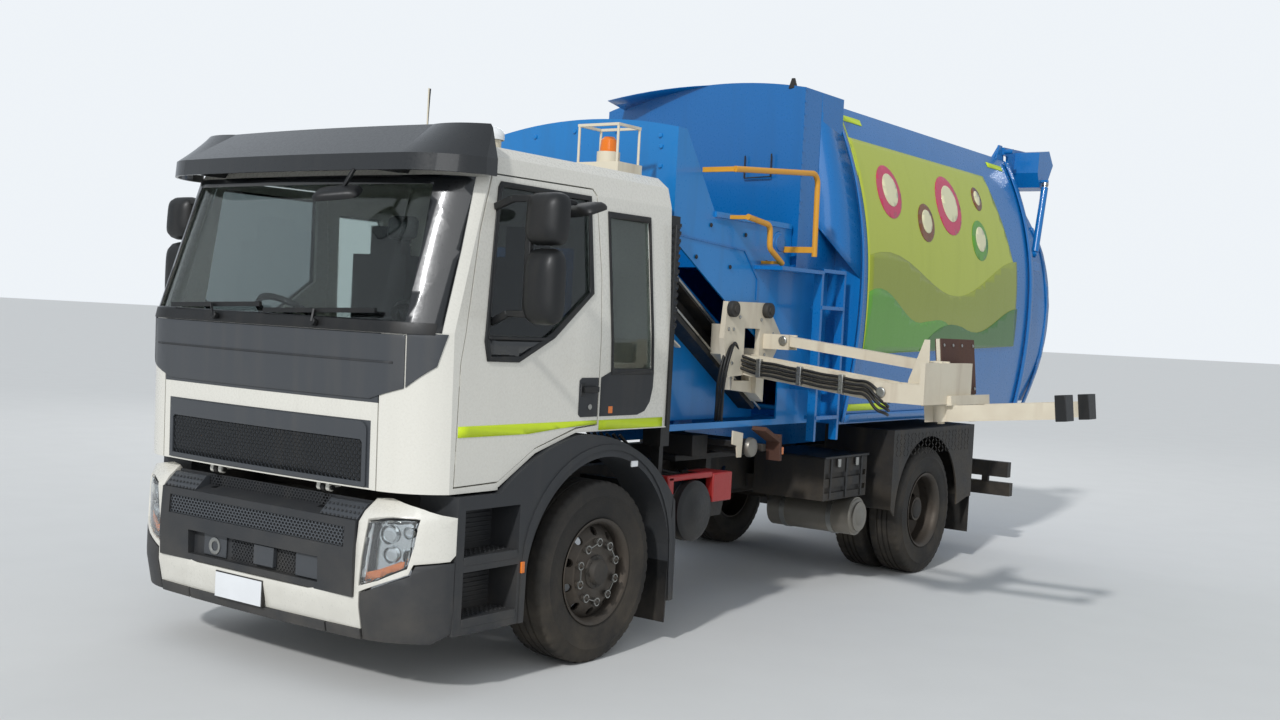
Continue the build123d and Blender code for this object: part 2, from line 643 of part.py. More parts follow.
for sx, side in ((1, "left"), (-1, "right")):
    door_outline = less(door_zone(sx, PANEL_GAP), side_form(WINDOW, sx * 990, sx * 1310))
    with BuildPart() as door:
        add(cab_skin.part)
        add(door_outline, mode=Mode.INTERSECT)
        # hinge lugs against the pillar
        for z in (1180, 1560):
            edge_y = -1200 + 10 * (z + 60 - 1060) / 609
            box_between(sx * 1114, sx * 1146, edge_y + SEAT, edge_y + 24, z, z + 60)
    keep(door, f"door_{side}")

    with BuildPart() as door_glass:
        add(glass_skin)
        add(side_form(shrunk(WINDOW, SEAT), sx * 1000, sx * 1300), mode=Mode.INTERSECT)
    keep(door_glass, f"door_glass_{side}")

    with BuildPart() as mirrors:
        # upper and lower heads on one arm
        box_between(sx * 1330, sx * 1560, -1010, -900, 2270, 2530)
        box_between(sx * 1330, sx * 1540, -1000, -905, 1890, 2250)
        box_between(sx * 1390, sx * 1430, -975, -935, 2240, 2280)
        for z in (2470, 1905):
            box_between(sx * 1060, sx * 1345, -968, -938, z, z + 35)
        add(cab_clear, mode=Mode.SUBTRACT)
    keep(mirrors, f"mirrors_{side}")

VISOR = ((2605.0, 1168.0, -1090.0, 850.0, -1372.0, -1412.0), (2690.0, 1168.0, -1090.0, 850.0,
         -1362.0, -1400.0),
         (2868.0, 1120.0, -1000.0, 780.0, -1080.0, -1120.0))
VISOR_T = 14.0
VISOR_REAR = -1010.0

visor_out = []
visor_in = []
for z, half_v, side_v, corner_v, corner_yv, front_v in VISOR:
    drop = VISOR_T if z == VISOR[-1][0] else 0
    visor_out.append(plan_face(z, half_v, side_v, corner_v, corner_yv, front_v, -700).face())
    visor_in.append(plan_face(z - drop, half_v - VISOR_T, side_v + 4, corner_v - 8, corner_yv + VISOR_T,
                              front_v + VISOR_T, -690).face())

with BuildPart() as visor_core:
    loft(visor_in, ruled=True)

with BuildPart() as visor_ribs:
    loft(visor_out, ruled=True)
    with BuildSketch(Plane.XY.offset(2500)):
        with Locations((-720, -1180), (720, -1180)):
            Rectangle(36, 500)
    extrude(amount=400, mode=Mode.INTERSECT)

with BuildPart() as sun_visor:
    loft(visor_out, ruled=True)
    add(visor_core.part, mode=Mode.SUBTRACT)
    add(visor_ribs.part)
    add(cab_clear, mode=Mode.SUBTRACT)
    box_between(-1300, 1300, VISOR_REAR, -600, 2500, 2900, mode=Mode.SUBTRACT)
keep(sun_visor, "sun_visor")

with BuildPart() as wipers:
    for x0 in (-560, 160):
        box_between(x0, x0 + 620, -1482, -1470, 1836, 1852)
        box_between(x0 - 10, x0 + 20, -1484, -1440, 1812, 1848)
    add(cab_clear, mode=Mode.SUBTRACT)
keep(wipers, "wipers")

with BuildPart() as dashboard:
    box_between(-1000, 1000, -1340 + SEAT, -960, 1420, 1800)
    add(cab_form(CAB_WALL + 20), mode=Mode.INTERSECT)
    for sx in (-1, 1):
        wheel_place = Location((sx * 560, -800, 1830), (-35, 0, 0))
        with BuildSketch(Plane(wheel_place)) as ring:
            Circle(STEER_R + 14)
            Circle(STEER_R - 14, mode=Mode.SUBTRACT)
        extrude(ring.sketch, amount=14, both=True)
        with Locations(wheel_place):
            Cylinder(60, 24)
            Box(420, 30, 16)
            with Locations((0, 0, -155)):
                Cylinder(28, 310)
keep(dashboard, "dashboard")

with BuildPart() as seats:
    for sx in (-1, 1):
        box_between(sx * 560 - 240, sx * 560 + 240, -560, -60, 1440, 1590)
        box_between(sx * 560 - 230, sx * 560 + 230, -140, 20, 1590, 2250)
        box_between(sx * 560 - 130, sx * 560 + 130, -90, 0, 2250, 2430)
        box_between(sx * 560 - 180, sx * 560 + 180, -480, -100, 1342 + SEAT, 1440)
keep(seats, "seats")

with BuildPart() as roof_fittings:
    box_between(560, 900, 330, 570, 2772 + SEAT, 2850)
    with Locations((735, 450, 2885)):
        Cylinder(70, 70)
    for x in (590, 880):
        for y in (345, 555):
            with Locations((x, y, 2960)):
                Cylinder(8, 220)
    box_between(582, 888, 337, 353, 3062, 3078)
    box_between(582, 888, 547, 563, 3062, 3078)
    box_between(582, 598, 345, 555, 3062, 3078)
    box_between(872, 888, 345, 555, 3062, 3078)
    with Locations((880, -760, 2800)):
        Cylinder(60, 56 - 2 * SEAT)
    with Locations((300, -640, 2960)):
        Cylinder(4, 376 - 2 * SEAT)
keep(roof_fittings, "roof_fittings")

# Front flap with its dark panels

with BuildPart() as flap_box:
    box_between(-844, 844, -1600, -1385, CAB_BOTTOM - 6, 1804 - SEAT)

with BuildPart() as flap_form:
    add(less(cab_form(0), cab_form(30)))
    add(flap_box.part, mode=Mode.INTERSECT)

with BuildPart() as front_flap:
    add(flap_form.part)
    box_between(-900, 900, -1600, -1300, 1462, 1900, mode=Mode.SUBTRACT)
    box_between(-800, 800, -1600, -1300, 1040, 1372, mode=Mode.SUBTRACT)
keep(front_flap, "front_flap")

with BuildPart() as flap_panels:
    add(flap_form.part)
    box_between(-900, 900, -1600, -1300, 1372 - SEAT, 1462 + SEAT, mode=Mode.SUBTRACT)
    for sx in (-1, 1):
        box_between(sx * (800 - SEAT), sx * 900, -1600, -1300, 1000, 1400, mode=Mode.SUBTRACT)
    box_between(-900, 900, -1600, -1300, 1000, 1040 + SEAT, mode=Mode.SUBTRACT)
keep(flap_panels, "flap_panels")

# Body barrel


def barrel_face(y, inset):
    """Cross-section of the body: bowed sides and a shallow arched roof."""
    p = [(x - inset, z + (inset if i == 0 else -0.5 * inset * (i == 4))) for i, (x,
         z) in enumerate(BODY_SIDE)]
    m = [(-x, z) for x, z in p]
    with BuildSketch(front_view(y)) as section:
        with BuildLine():
            ThreePointArc(p[0], p[1], p[2])
            ThreePointArc(p[2], p[3], p[4])
            ThreePointArc(p[4], (0, BODY_TOP - inset), m[4])
            ThreePointArc(m[4], m[3], m[2])
            ThreePointArc(m[2], m[1], m[0])
            Line(m[0], p[0])
        make_face()
    return section.sketch


def cowl_face(y, inset):
    """Front outline of the cowl at the bulkhead."""
    x = BULK_X - inset
    low = SILL_Z - 300 + inset
    with BuildSketch(front_view(y)) as section:
        with BuildLine():
            Line((x, low), (x, COWL_EDGE_Z - inset))
            ThreePointArc((x, COWL_EDGE_Z - inset), (0, COWL_TOP - inset), (-x, COWL_EDGE_Z - inset))
            Line((-x, COWL_EDGE_Z - inset), (-x, low))
            Line((-x, low), (x, low))
        make_face()
    return section.sketch


def bulk_y(x):
    """Where the bulkhead stands at a given X."""
    return BULK_NEAR + (BULK_X - x) * (BULK_FAR - BULK_NEAR) / (2 * BULK_X)


with BuildPart() as bulkhead:
    extrude(cowl_face(BULK_NEAR, 2), amount=BULK_NEAR - BODY_FRONT)
    with BuildSketch(Plane.XY.offset(SILL_Z - 400)):
        with BuildLine():
            Polyline((BULK_X, BULK_NEAR), (BULK_X, BULK_NEAR + 14), (-BULK_X, BULK_FAR + 14),
                     (-BULK_X, BULK_FAR),
                     close=True)
        make_face()
    extrude(amount=1500, mode=Mode.INTERSECT)

with BuildPart() as collar:
    extrude(barrel_face(BODY_FRONT, 1), amount=-12)
    box_between(-HOPPER_X + 8, HOPPER_X - 8, BODY_FRONT - 10, BODY_FRONT + 20, BODY_LOW + 60, 3530,
                mode=Mode.SUBTRACT)

with BuildPart() as rear_frame:
    extrude(barrel_face(BODY_REAR - 30, 1), amount=-30)
    extrude(barrel_face(BODY_REAR - 40, 130), amount=-60, mode=Mode.SUBTRACT)

with BuildPart() as body_shell:
    extrude(barrel_face(BODY_FRONT, 0), amount=BODY_FRONT - BODY_REAR)
    extrude(barrel_face(BODY_FRONT - 5, BODY_WALL), amount=BODY_FRONT - BODY_REAR - 10,
            mode=Mode.SUBTRACT)
    # cowl from the bulkhead back to the barrel
    extrude(cowl_face(BULK_NEAR, 0), amount=BULK_NEAR - BODY_FRONT)
    extrude(cowl_face(BULK_NEAR - 5, BODY_WALL), amount=BULK_NEAR - BODY_FRONT - 10, mode=Mode.SUBTRACT)
    # the bulkhead runs slantwise from the kerb side back to the far side
    level_plate(((-1300, BULK_NEAR - 100), (1300, BULK_NEAR - 100), (1300, bulk_y(1300)), (-1300,
                bulk_y(-1300))),
                SILL_Z - 400, 4100, mode=Mode.SUBTRACT)
    add(bulkhead.part)
    # flat front collar between the cowl and the bowed side
    add(collar.part)
    add(rear_frame.part)
    # long sills under the floor
    for sx in (-1, 1):
        box_between(sx * 385 - 45, sx * 385 + 45, BODY_FRONT - 900, TIP_Y - 65, SUB_LOW, BODY_LOW + 5)
        for dx in (-35, 35):
            box_between(sx * 380 + dx - 19, sx * 380 + dx + 19, TIP_Y - 70, TIP_Y + 50, SUB_LOW,
                        BODY_LOW + 5)
        # hoist cross bar
        box_between(sx * 80 - 10, sx * 80 + 10, HOIST_EYE[0] - 45, HOIST_EYE[0] + 45,
                    HOIST_EYE[1] - 10, BODY_LOW + 5)
    rod_x(-345, 345, *HOIST_EYE, 20)
    rod_x(-500, 500, TIP_Y, TIP_Z, 22 + FIT, mode=Mode.SUBTRACT)
    for sx in (-1, 1):
        # tailgate hinge brackets on the roof
        side_plate(((GATE_HINGE_Y - 230, BODY_EDGE_Z - 20), (GATE_HINGE_Y - 60, GATE_HINGE_Z + 45),
                    (GATE_HINGE_Y + 30, GATE_HINGE_Z + 30), (GATE_HINGE_Y + 40, BODY_EDGE_Z - 20)),
                   sx * 900, sx * 925)
        rod_x(sx * 900, sx * 1030, GATE_HINGE_Y, GATE_HINGE_Z, GATE_PIN_R)
        # foot cheek of the gate cylinder
        side_plate(((BODY_REAR - 10, 2480), (BODY_REAR - 10, 2650), (GATE_FOOT_Y - 40, GATE_FOOT_Z + 40),
                    (GATE_FOOT_Y + 45, GATE_FOOT_Z + 25), (GATE_FOOT_Y + 45, 2520)),
                   sx * (GATE_CYL_X - 50), sx * (GATE_CYL_X - 36))
        rod_x(sx * (GATE_CYL_X - 50), sx * (GATE_CYL_X + 24), GATE_FOOT_Y, GATE_FOOT_Z, 16)
keep(body_shell, "body_shell")

# Hopper

HOPPER_LOW = BODY_LOW + 5 + SEAT
RECESS_X = 800.0
# recess of the arm in the kerb side, in Y and Z
RECESS = ((700, HOPPER_LOW + 40), (700, 2480), (820, 2420), (1560, 2000), (2150, 1680), (2150,
          HOPPER_LOW + 40))

with BuildPart() as hopper:
    level_plate(((HOPPER_X, HOPPER_FRONT), (-HOPPER_X, HOPPER_FRONT + 2 * HOPPER_SKEW), (-HOPPER_X,
                BODY_FRONT - SEAT),
                 (HOPPER_X, BODY_FRONT - SEAT)), HOPPER_LOW, HOPPER_TOP)
    level_plate(((HOPPER_X - 12, HOPPER_FRONT + 14), (-HOPPER_X + 12,
                HOPPER_FRONT + 2 * HOPPER_SKEW + 10),
                 (-HOPPER_X + 12, BODY_FRONT + 20), (HOPPER_X - 12, BODY_FRONT + 20)),
                HOPPER_LOW + BODY_WALL, HOPPER_TOP + 10, mode=Mode.SUBTRACT)
    # inner wall of the arm's recess
    side_plate(RECESS, RECESS_X - 14, HOPPER_X - 5)
    side_plate(RECESS, RECESS_X, HOPPER_X + 20, mode=Mode.SUBTRACT)
    # the arched top edge
    with BuildSketch(front_view(HOPPER_FRONT - 100)):
        with BuildLine():
            Line((HOPPER_X + 10, HOPPER_EDGE_Z), (HOPPER_X + 10, HOPPER_TOP + 200))
            Line((HOPPER_X + 10, HOPPER_TOP + 200), (-HOPPER_X - 10, HOPPER_TOP + 200))
            Line((-HOPPER_X - 10, HOPPER_TOP + 200), (-HOPPER_X - 10, HOPPER_EDGE_Z))
            ThreePointArc((-HOPPER_X - 10, HOPPER_EDGE_Z), (0, HOPPER_TOP), (HOPPER_X + 10,
                          HOPPER_EDGE_Z))
        make_face()
    extrude(amount=-2300, mode=Mode.SUBTRACT)
    # the kerb side is cut down to the sill behind a slanting fin
    side_plate(((HOPPER_FRONT + 100, 3300), (HOPPER_FRONT + 100, 3105), (SILL_FRONT, SILL_Z), (2800,
               SILL_Z),
                (2800, 3300)), HOPPER_X - 60, HOPPER_X + 20, mode=Mode.SUBTRACT)
    # what stands behind the bulkhead is cut down below the cowl
    level_plate(((1100, bulk_y(1100) - 8), (-1100, bulk_y(-1100) - 8), (-1100, 2900), (1100, 2900)),
                SILL_Z - 310, 3400, mode=Mode.SUBTRACT)
    box_between(HOPPER_X - 55, HOPPER_X + 15, SILL_FRONT, SILL_REAR, SILL_Z - 34, SILL_Z)
keep(hopper, "hopper")

with BuildPart() as packer_blade:
    box_between(-960, 770, 1240, 1300, HOPPER_LOW + BODY_WALL + SEAT, 1950)
    box_between(-900, 740, 1300, 1500, HOPPER_LOW + BODY_WALL + SEAT, BODY_LOW + 90)
keep(packer_blade, "packer_blade")

# Ladder and handrails

with BuildPart() as ladder:
    for y in (2330, 2660):
        box_between(1150, 1210, y - 14, y + 14, 1150, 2330)
        box_between(HOPPER_X + SEAT, 1155, y - 14, y + 14, 1500, 1540)
    for i in range(5):
        box_between(1120, 1215, 2330, 2660, 1300 + i * 255, 1325 + i * 255)
    box_between(HOPPER_X + SEAT, 1215, 1760, 2340, 2305, 2330)
keep(ladder, "ladder")

with BuildPart() as handrails:
    with BuildLine() as rail_a:
        FilletPolyline((1235, 1080, 2885), (1235, 2130, 2975), (1235, 2140, 2415), radius=70)
    with BuildSketch(Plane(origin=rail_a.line @ 0, z_dir=rail_a.line % 0)):
        Circle(19)
    sweep()
    # arms back to the hopper's side
    box_between(HOPPER_X + SEAT, 1235, 1075, 1095, 2870, 2900)
    box_between(HOPPER_X + SEAT, 1235, 2120, 2150, 2440, 2480)
    with BuildLine() as rail_b:
        FilletPolyline((1150, 1400, 2620), (1150, 1680, 2590), (1150, 1690, 2440), (1150, 1860,
                       2350), radius=45)
    with BuildSketch(Plane(origin=rail_b.line @ 0, z_dir=rail_b.line % 0)):
        Circle(19)
    sweep()
    box_between(HOPPER_X + 15 + SEAT, 1150, 1400, 1430, 2606, 2630)
    box_between(HOPPER_X + SEAT, 1150, 1840, 1860, 2345, 2365)
keep(handrails, "handrails")

# Arm track, carriage, links and gripper

slope = atan2(TRACK_LOW_Z - TRACK_TOP_Z, TRACK_LOW_Y - TRACK_TOP_Y)
track_len = hypot(TRACK_LOW_Y - TRACK_TOP_Y, TRACK_LOW_Z - TRACK_TOP_Z)
track_plane = Plane(origin=(RECESS_X + SEAT, TRACK_TOP_Y, TRACK_TOP_Z), x_dir=(0, cos(slope), sin(slope)),
                    z_dir=(1, 0, 0))

with BuildPart() as arm_track:
    for v in (0, -TRACK_GAUGE):
        with BuildSketch(track_plane):
            with Locations((track_len / 2, v)):
                Rectangle(track_len, 34)
        extrude(amount=TRACK_X1 - RECESS_X - SEAT)
    with BuildSketch(track_plane):
        with Locations((track_len / 2, -TRACK_GAUGE / 2)):
            Rectangle(track_len, TRACK_GAUGE + 34)
    extrude(amount=10)
keep(arm_track, "arm_track")

LINK_PIN_R = 20.0
LOWER_PIN_R = 24.0

PLATE_X0 = HOPPER_X + 12
PLATE_X1 = PLATE_X0 + 36

with BuildPart() as carriage:
    side_plate(((CARR_Y0 - 10, 2078), (CARR_Y1 - 90, 2085), (CARR_Y1 + 110, 1880), (CARR_Y1 + 60, 1760),
                (CARR_Y1 - 60, 1620), (CARR_Y0 + 30, 1590), (CARR_Y0 - 40, 1840)), PLATE_X0, PLATE_X1)
    rod_x(PLATE_X0, PLATE_X1 + 40, CARR_Y0 + 30, 2030, 46)
    rod_x(PLATE_X0, PLATE_X1 + 40, CARR_Y1 - 100, 2035, 46)
    # shoes on the track
    side_plate(((1400, 1930), (1560, 1834), (1560, 1640), (1400, 1736)), TRACK_X1 + SEAT, PLATE_X0 + 5)
    side_plate(((1830, 1672), (1930, 1612), (1930, 1418), (1830, 1478)), TRACK_X1 + SEAT, PLATE_X0 + 5)
    box_between(PLATE_X0 - 20, PLATE_X1 + 20, LOWER_Y - 96, LOWER_Y + 96, 1500, 1910, mode=Mode.SUBTRACT)
    side_plate(((1580, 1500), (1580, 1640), (1604, 1640), (1604, 1560), (1796, 1560), (1796, 1640),
               (1830, 1640),
                (1830, 1478)), TRACK_X1 + SEAT, PLATE_X0 - 30)
    # cheeks and pins of both links
    for y in (UPPER_Y - 60, UPPER_Y + 42):
        box_between(PLATE_X0 + 5, LINK_U0[0] + 40, y, y + 18, LINK_U0[1] - 60, LINK_U0[1] + 40)
    with Locations(Location((LINK_U0[0], UPPER_Y, LINK_U0[1]), (90, 0, 0))):
        Cylinder(LINK_PIN_R, 120)
    for y in (LOWER_Y - 120, LOWER_Y + 96):
        box_between(TRACK_X1 + SEAT, LINK_L0[0] + 27, y, y + 24, LINK_L0[1] - 76, LINK_L0[1] + 100)
    with Locations(Location((LINK_L0[0], LOWER_Y, LINK_L0[1]), (90, 0, 0))):
        Cylinder(LOWER_PIN_R, 240)
keep(carriage, "carriage")


def link(y0, y1, start, height, r):
    """Straight link in the X-Z plane from its start pivot over the common reach."""
    angle = atan2(LINK_REACH[1], LINK_REACH[0])
    length = hypot(*LINK_REACH)
    plane = Plane(origin=(start[0], y1, start[1]), x_dir=(cos(angle), 0, sin(angle)), z_dir=(0, -1, 0))
    with BuildSketch(plane) as bar:
        with Locations((length / 2, 0)):
            SlotCenterToCenter(length, height)
        with Locations((0, 0), (length, 0)):
            Circle(r, mode=Mode.SUBTRACT)
    extrude(bar.sketch, amount=y1 - y0)


with BuildPart() as upper_link:
    link(UPPER_Y - 40, UPPER_Y + 40, LINK_U0, 64, LINK_PIN_R + FIT)
keep(upper_link, "upper_link")

with BuildPart() as lower_link:
    link(LOWER_Y - 90, LOWER_Y - 60, LINK_L0, 130, LOWER_PIN_R + FIT)
    link(LOWER_Y + 60, LOWER_Y + 90, LINK_L0, 130, LOWER_PIN_R + FIT)
    box_between(LINK_L0[0] + 250, LINK_L0[0] + 800, LOWER_Y - 62, LOWER_Y + 62, 1610, 1640)
keep(lower_link, "lower_link")

U1 = (LINK_U0[0] + LINK_REACH[0], LINK_U0[1] + LINK_REACH[1])
L1 = (LINK_L0[0] + LINK_REACH[0], LINK_L0[1] + LINK_REACH[1])
tilt = radians(HEAD_TILT)
HEAD = Plane(origin=(U1[0], 2240, 1500), x_dir=(cos(tilt), 0, sin(tilt)), z_dir=(-sin(tilt), 0,
             cos(tilt)))
FINGER_HALF = 250.0
FINGER_PIN_R = 22.0

with BuildPart() as gripper_head:
    # pad plate and bracket that carries both links' ends
    with BuildSketch(HEAD):
        with Locations((0, 20)):
            Rectangle(24, 540)
    extrude(amount=410)
    with BuildSketch(HEAD.offset(-10)):
        Rectangle(200, 620)
    extrude(amount=60)
    with Locations(HEAD):
        with Locations((0, -FINGER_HALF, -65), (0, FINGER_HALF, -65)):
            Cylinder(FINGER_PIN_R, 116)
    # cheeks and pins at the links' outer ends
    for y in (UPPER_Y - 60, UPPER_Y + 42):
        box_between(U1[0] - 40, U1[0] + 60, y, y + 18, U1[1] - 226, U1[1] + 40)
    with Locations(Location((U1[0], UPPER_Y, U1[1]), (90, 0, 0))):
        Cylinder(LINK_PIN_R, 120)
    for y in (LOWER_Y - 120, LOWER_Y + 96):
        box_between(L1[0] - 50, U1[0] + 60, y, y + 24, L1[1] - 60, L1[1] + 60)
    with Locations(Location((L1[0], LOWER_Y, L1[1]), (90, 0, 0))):
        Cylinder(LOWER_PIN_R, 240)
    box_between(U1[0] + 40, U1[0] + 70, LOWER_Y - 120, 2300, 1506, 1760)
keep(gripper_head, "gripper_head")

for sy, side in ((-1, "front"), (1, "rear")):
    with BuildPart() as finger:
        with BuildSketch(HEAD.offset(-110)):
            with Locations((330, sy * FINGER_HALF)):
                Rectangle(860, 46)
            with Locations((0, sy * FINGER_HALF)):
                Circle(46)
                Circle(FINGER_PIN_R + FIT, mode=Mode.SUBTRACT)
        extrude(amount=110 - 10 - SEAT)
        with BuildSketch(HEAD.offset(-120)):
            with Locations((770, sy * (FINGER_HALF - 40))):
                Rectangle(60, 130)
        extrude(amount=150)
    keep(finger, f"finger_{side}")

# Tailgate and its cylinders

GATE_FACE = BODY_REAR + PANEL_GAP


def gate_form(inset, open_front):
    """Tailgate form: the body's section, narrower, cut to a curved rear profile."""
    y0 = GATE_FACE - open_front
    with BuildSketch(side_view(-1400)) as profile:
        with BuildLine():
            Polyline((y0, 1200), (y0, 3720), (6300 - inset, 3720), (6330 - inset, 3320))
            ThreePointArc((6330 - inset, 3320), (6580 - inset, 3060), (6800 - inset, 2770))
            ThreePointArc((6800 - inset, 2770), (6945 - inset, 2230), (6885 - inset, 1740))
            Polyline((6885 - inset, 1740), (6640 - inset, 1200), (y0, 1200))
        make_face()
    with BuildPart() as form:
        extrude(barrel_face(y0, GATE_INSET + inset), amount=-900)
        extrude(profile.sketch, amount=2800, mode=Mode.INTERSECT)
    return form.part


with BuildPart() as tailgate:
    add(less(gate_form(0, 0), gate_form(14, 10)))
    for sx in (-1, 1):
        # hinge plates and lifting ears
        side_plate(((GATE_HINGE_Y - 30, GATE_HINGE_Z - 30), (GATE_HINGE_Y - 30, GATE_HINGE_Z + 36),
                   (6650, 3700),
                    (6770, 3580), (6580, 3320), (6330, 3300), (6230, 3400), (6215, GATE_HINGE_Z - 40)),
                   sx * 935, sx * 955)
        side_plate(((6380, 3470), (6400, 3660), (6650, 3700), (6770, 3580), (6580, 3320), (6440, 3340)),
                   sx * 955, sx * (GATE_CYL_X - 36))
        rod_x(sx * (GATE_CYL_X - 50), sx * (GATE_CYL_X + 24), GATE_EYE_Y, GATE_EYE_Z, 16)
        rod_x(sx * 927, sx * 965, GATE_HINGE_Y, GATE_HINGE_Z, GATE_PIN_R + FIT, mode=Mode.SUBTRACT)
        box_between(sx * 800, sx * 940, 6225, 6400, 3300, 3420)
keep(tailgate, "tailgate")


def cylinder_axis(x, foot, eye, along):
    """Plane square to a cylinder's axis at a distance from its foot, and the eye distance."""
    reach = hypot(eye[0] - foot[0], eye[1] - foot[1])
    dy, dz = (eye[0] - foot[0]) / reach, (eye[1] - foot[1]) / reach
    return Plane(origin=(x, foot[0] + dy * along, foot[1] + dz * along), x_dir=(1, 0, 0), z_dir=(0,
                 dy, dz)), reach


def barrel_tube(x, foot, eye, r_out, r_in, end, eye_w, eye_r, pin_r):
    """Cylinder barrel with its foot eye; end is the gap left before the rod's eye."""
    plane, reach = cylinder_axis(x, foot, eye, eye_r - 6)
    with BuildSketch(plane) as disc:
        Circle(r_out)
    extrude(disc.sketch, amount=reach - eye_r + 6 - end)
    bore_plane, reach = cylinder_axis(x, foot, eye, eye_r + 14)
    with BuildSketch(bore_plane) as bore:
        Circle(r_in)
    extrude(bore.sketch, amount=reach, mode=Mode.SUBTRACT)
    rod_x(x - eye_w, x + eye_w, *foot, eye_r)
    rod_x(x - eye_w - 5, x + eye_w + 5, *foot, pin_r + FIT, mode=Mode.SUBTRACT)


def piston_rod(x, foot, eye, r, start, head_r, pin_r):
    """Piston rod from inside the barrel to an open head that bears on the pin."""
    plane, reach = cylinder_axis(x, foot, eye, start)
    with BuildSketch(plane) as disc:
        Circle(r)
    extrude(disc.sketch, amount=reach - start - pin_r - SEAT)
    head_plane, reach = cylinder_axis(x, foot, eye, reach - pin_r - SEAT - 26)
    with BuildSketch(head_plane) as head:
        Circle(head_r)
    extrude(head.sketch, amount=26)


gate_foot = (GATE_FOOT_Y, GATE_FOOT_Z)
gate_eye = (GATE_EYE_Y, GATE_EYE_Z)

for sx, side in ((1, "left"), (-1, "right")):
    with BuildPart() as gate_barrel:
        barrel_tube(sx * GATE_CYL_X, gate_foot, gate_eye, 32, 22 + FIT, 60, 18, 30, 16)
    keep(gate_barrel, f"gate_barrel_{side}")

    with BuildPart() as gate_rod:
        piston_rod(sx * GATE_CYL_X, gate_foot, gate_eye, 22, 60, 30, 16)
    keep(gate_rod, f"gate_rod_{side}")

# Body hoist under the floor

with BuildPart() as hoist_barrel:
    barrel_tube(0, HOIST_FOOT, HOIST_EYE, 68, 50 + FIT, 70, 72, 40, 20)
keep(hoist_barrel, "hoist_barrel")

with BuildPart() as hoist_rod:
    piston_rod(0, HOIST_FOOT, HOIST_EYE, 50, 60, 60, 20)
keep(hoist_rod, "hoist_rod")

# Move to the middle of the box and write

whole = Compound(children=[Compound(p.wrapped) for p in pieces])
box = whole.bounding_box()
ORIGIN = ((box.min.X + box.max.X) / 2, (box.min.Y + box.max.Y) / 2)
print("box", box.min, box.max, "origin", ORIGIN)
for p in pieces:
    moved = p.moved(Location((-ORIGIN[0], -ORIGIN[1], 0)))
    moved.label = p.label
    export_step(moved, f"parts/{p.label}.step")
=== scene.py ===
"""Looks of the side-loading refuse truck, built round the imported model.

Pieces are drawn in truck coordinates: metres, +X kerb side, +Y backwards from the front axle,
+Z up, with the ground point under the front axle at 0, and moved to the row frame by OFF.
"""
from math import cos, hypot, pi, radians, sin, sqrt

import bmesh
import bpy
from mathutils import Matrix, Vector


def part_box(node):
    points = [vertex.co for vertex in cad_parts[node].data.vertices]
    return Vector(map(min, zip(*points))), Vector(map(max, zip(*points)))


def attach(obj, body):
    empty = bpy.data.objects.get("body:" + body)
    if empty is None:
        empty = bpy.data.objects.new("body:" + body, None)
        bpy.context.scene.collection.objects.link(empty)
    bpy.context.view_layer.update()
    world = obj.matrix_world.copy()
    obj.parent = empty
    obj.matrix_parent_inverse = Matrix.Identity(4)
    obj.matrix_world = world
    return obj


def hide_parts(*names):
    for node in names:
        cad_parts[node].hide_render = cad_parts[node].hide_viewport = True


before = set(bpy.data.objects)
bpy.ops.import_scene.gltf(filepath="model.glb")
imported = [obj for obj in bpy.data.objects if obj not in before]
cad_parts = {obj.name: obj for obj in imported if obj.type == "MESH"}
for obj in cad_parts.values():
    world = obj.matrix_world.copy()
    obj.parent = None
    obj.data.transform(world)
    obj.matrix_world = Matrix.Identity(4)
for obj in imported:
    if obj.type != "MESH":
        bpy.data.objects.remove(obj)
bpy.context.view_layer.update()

SIDES = ((1, "left"), (-1, "right"))


def middle(node):
    low, high = (Vector(v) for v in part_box(node))
    return (low + high) / 2


AXLE = middle("front_axle")
OFF = Vector((AXLE.x, AXLE.y, 0.0))

# Camera

CAM_AT = Vector((5.82008, -6.18053, 1.94527))
CAM_YAW = 0.6240086
CAM_PITCH = -0.0306652
CAM_ROLL = 0.052334
CAM_FOCAL_PX = 1390.86
PHOTO_WIDTH = 1280
SENSOR = 36.0


def place_camera():
    ahead = Vector((-sin(CAM_YAW) * cos(CAM_PITCH), cos(CAM_YAW) * cos(CAM_PITCH), sin(CAM_PITCH)))
    right = ahead.cross(Vector((0, 0, 1))).normalized()
    up = right.cross(ahead)
    right_rolled = cos(CAM_ROLL) * right + sin(CAM_ROLL) * up
    up_rolled = -sin(CAM_ROLL) * right + cos(CAM_ROLL) * up
    data = bpy.data.cameras.new("camera")
    data.sensor_fit = "HORIZONTAL"
    data.sensor_width = SENSOR
    data.lens = CAM_FOCAL_PX * SENSOR / PHOTO_WIDTH
    data.clip_end = 200
    cam = bpy.data.objects.new("camera", data)
    bpy.context.scene.collection.objects.link(cam)
    turn = Matrix((right_rolled, up_rolled, -ahead)).transposed().to_4x4()
    cam.matrix_world = Matrix.Translation(CAM_AT + OFF) @ turn
    bpy.context.scene.camera = cam


place_camera()

# Materials

ROUGH_SWING = 0.12


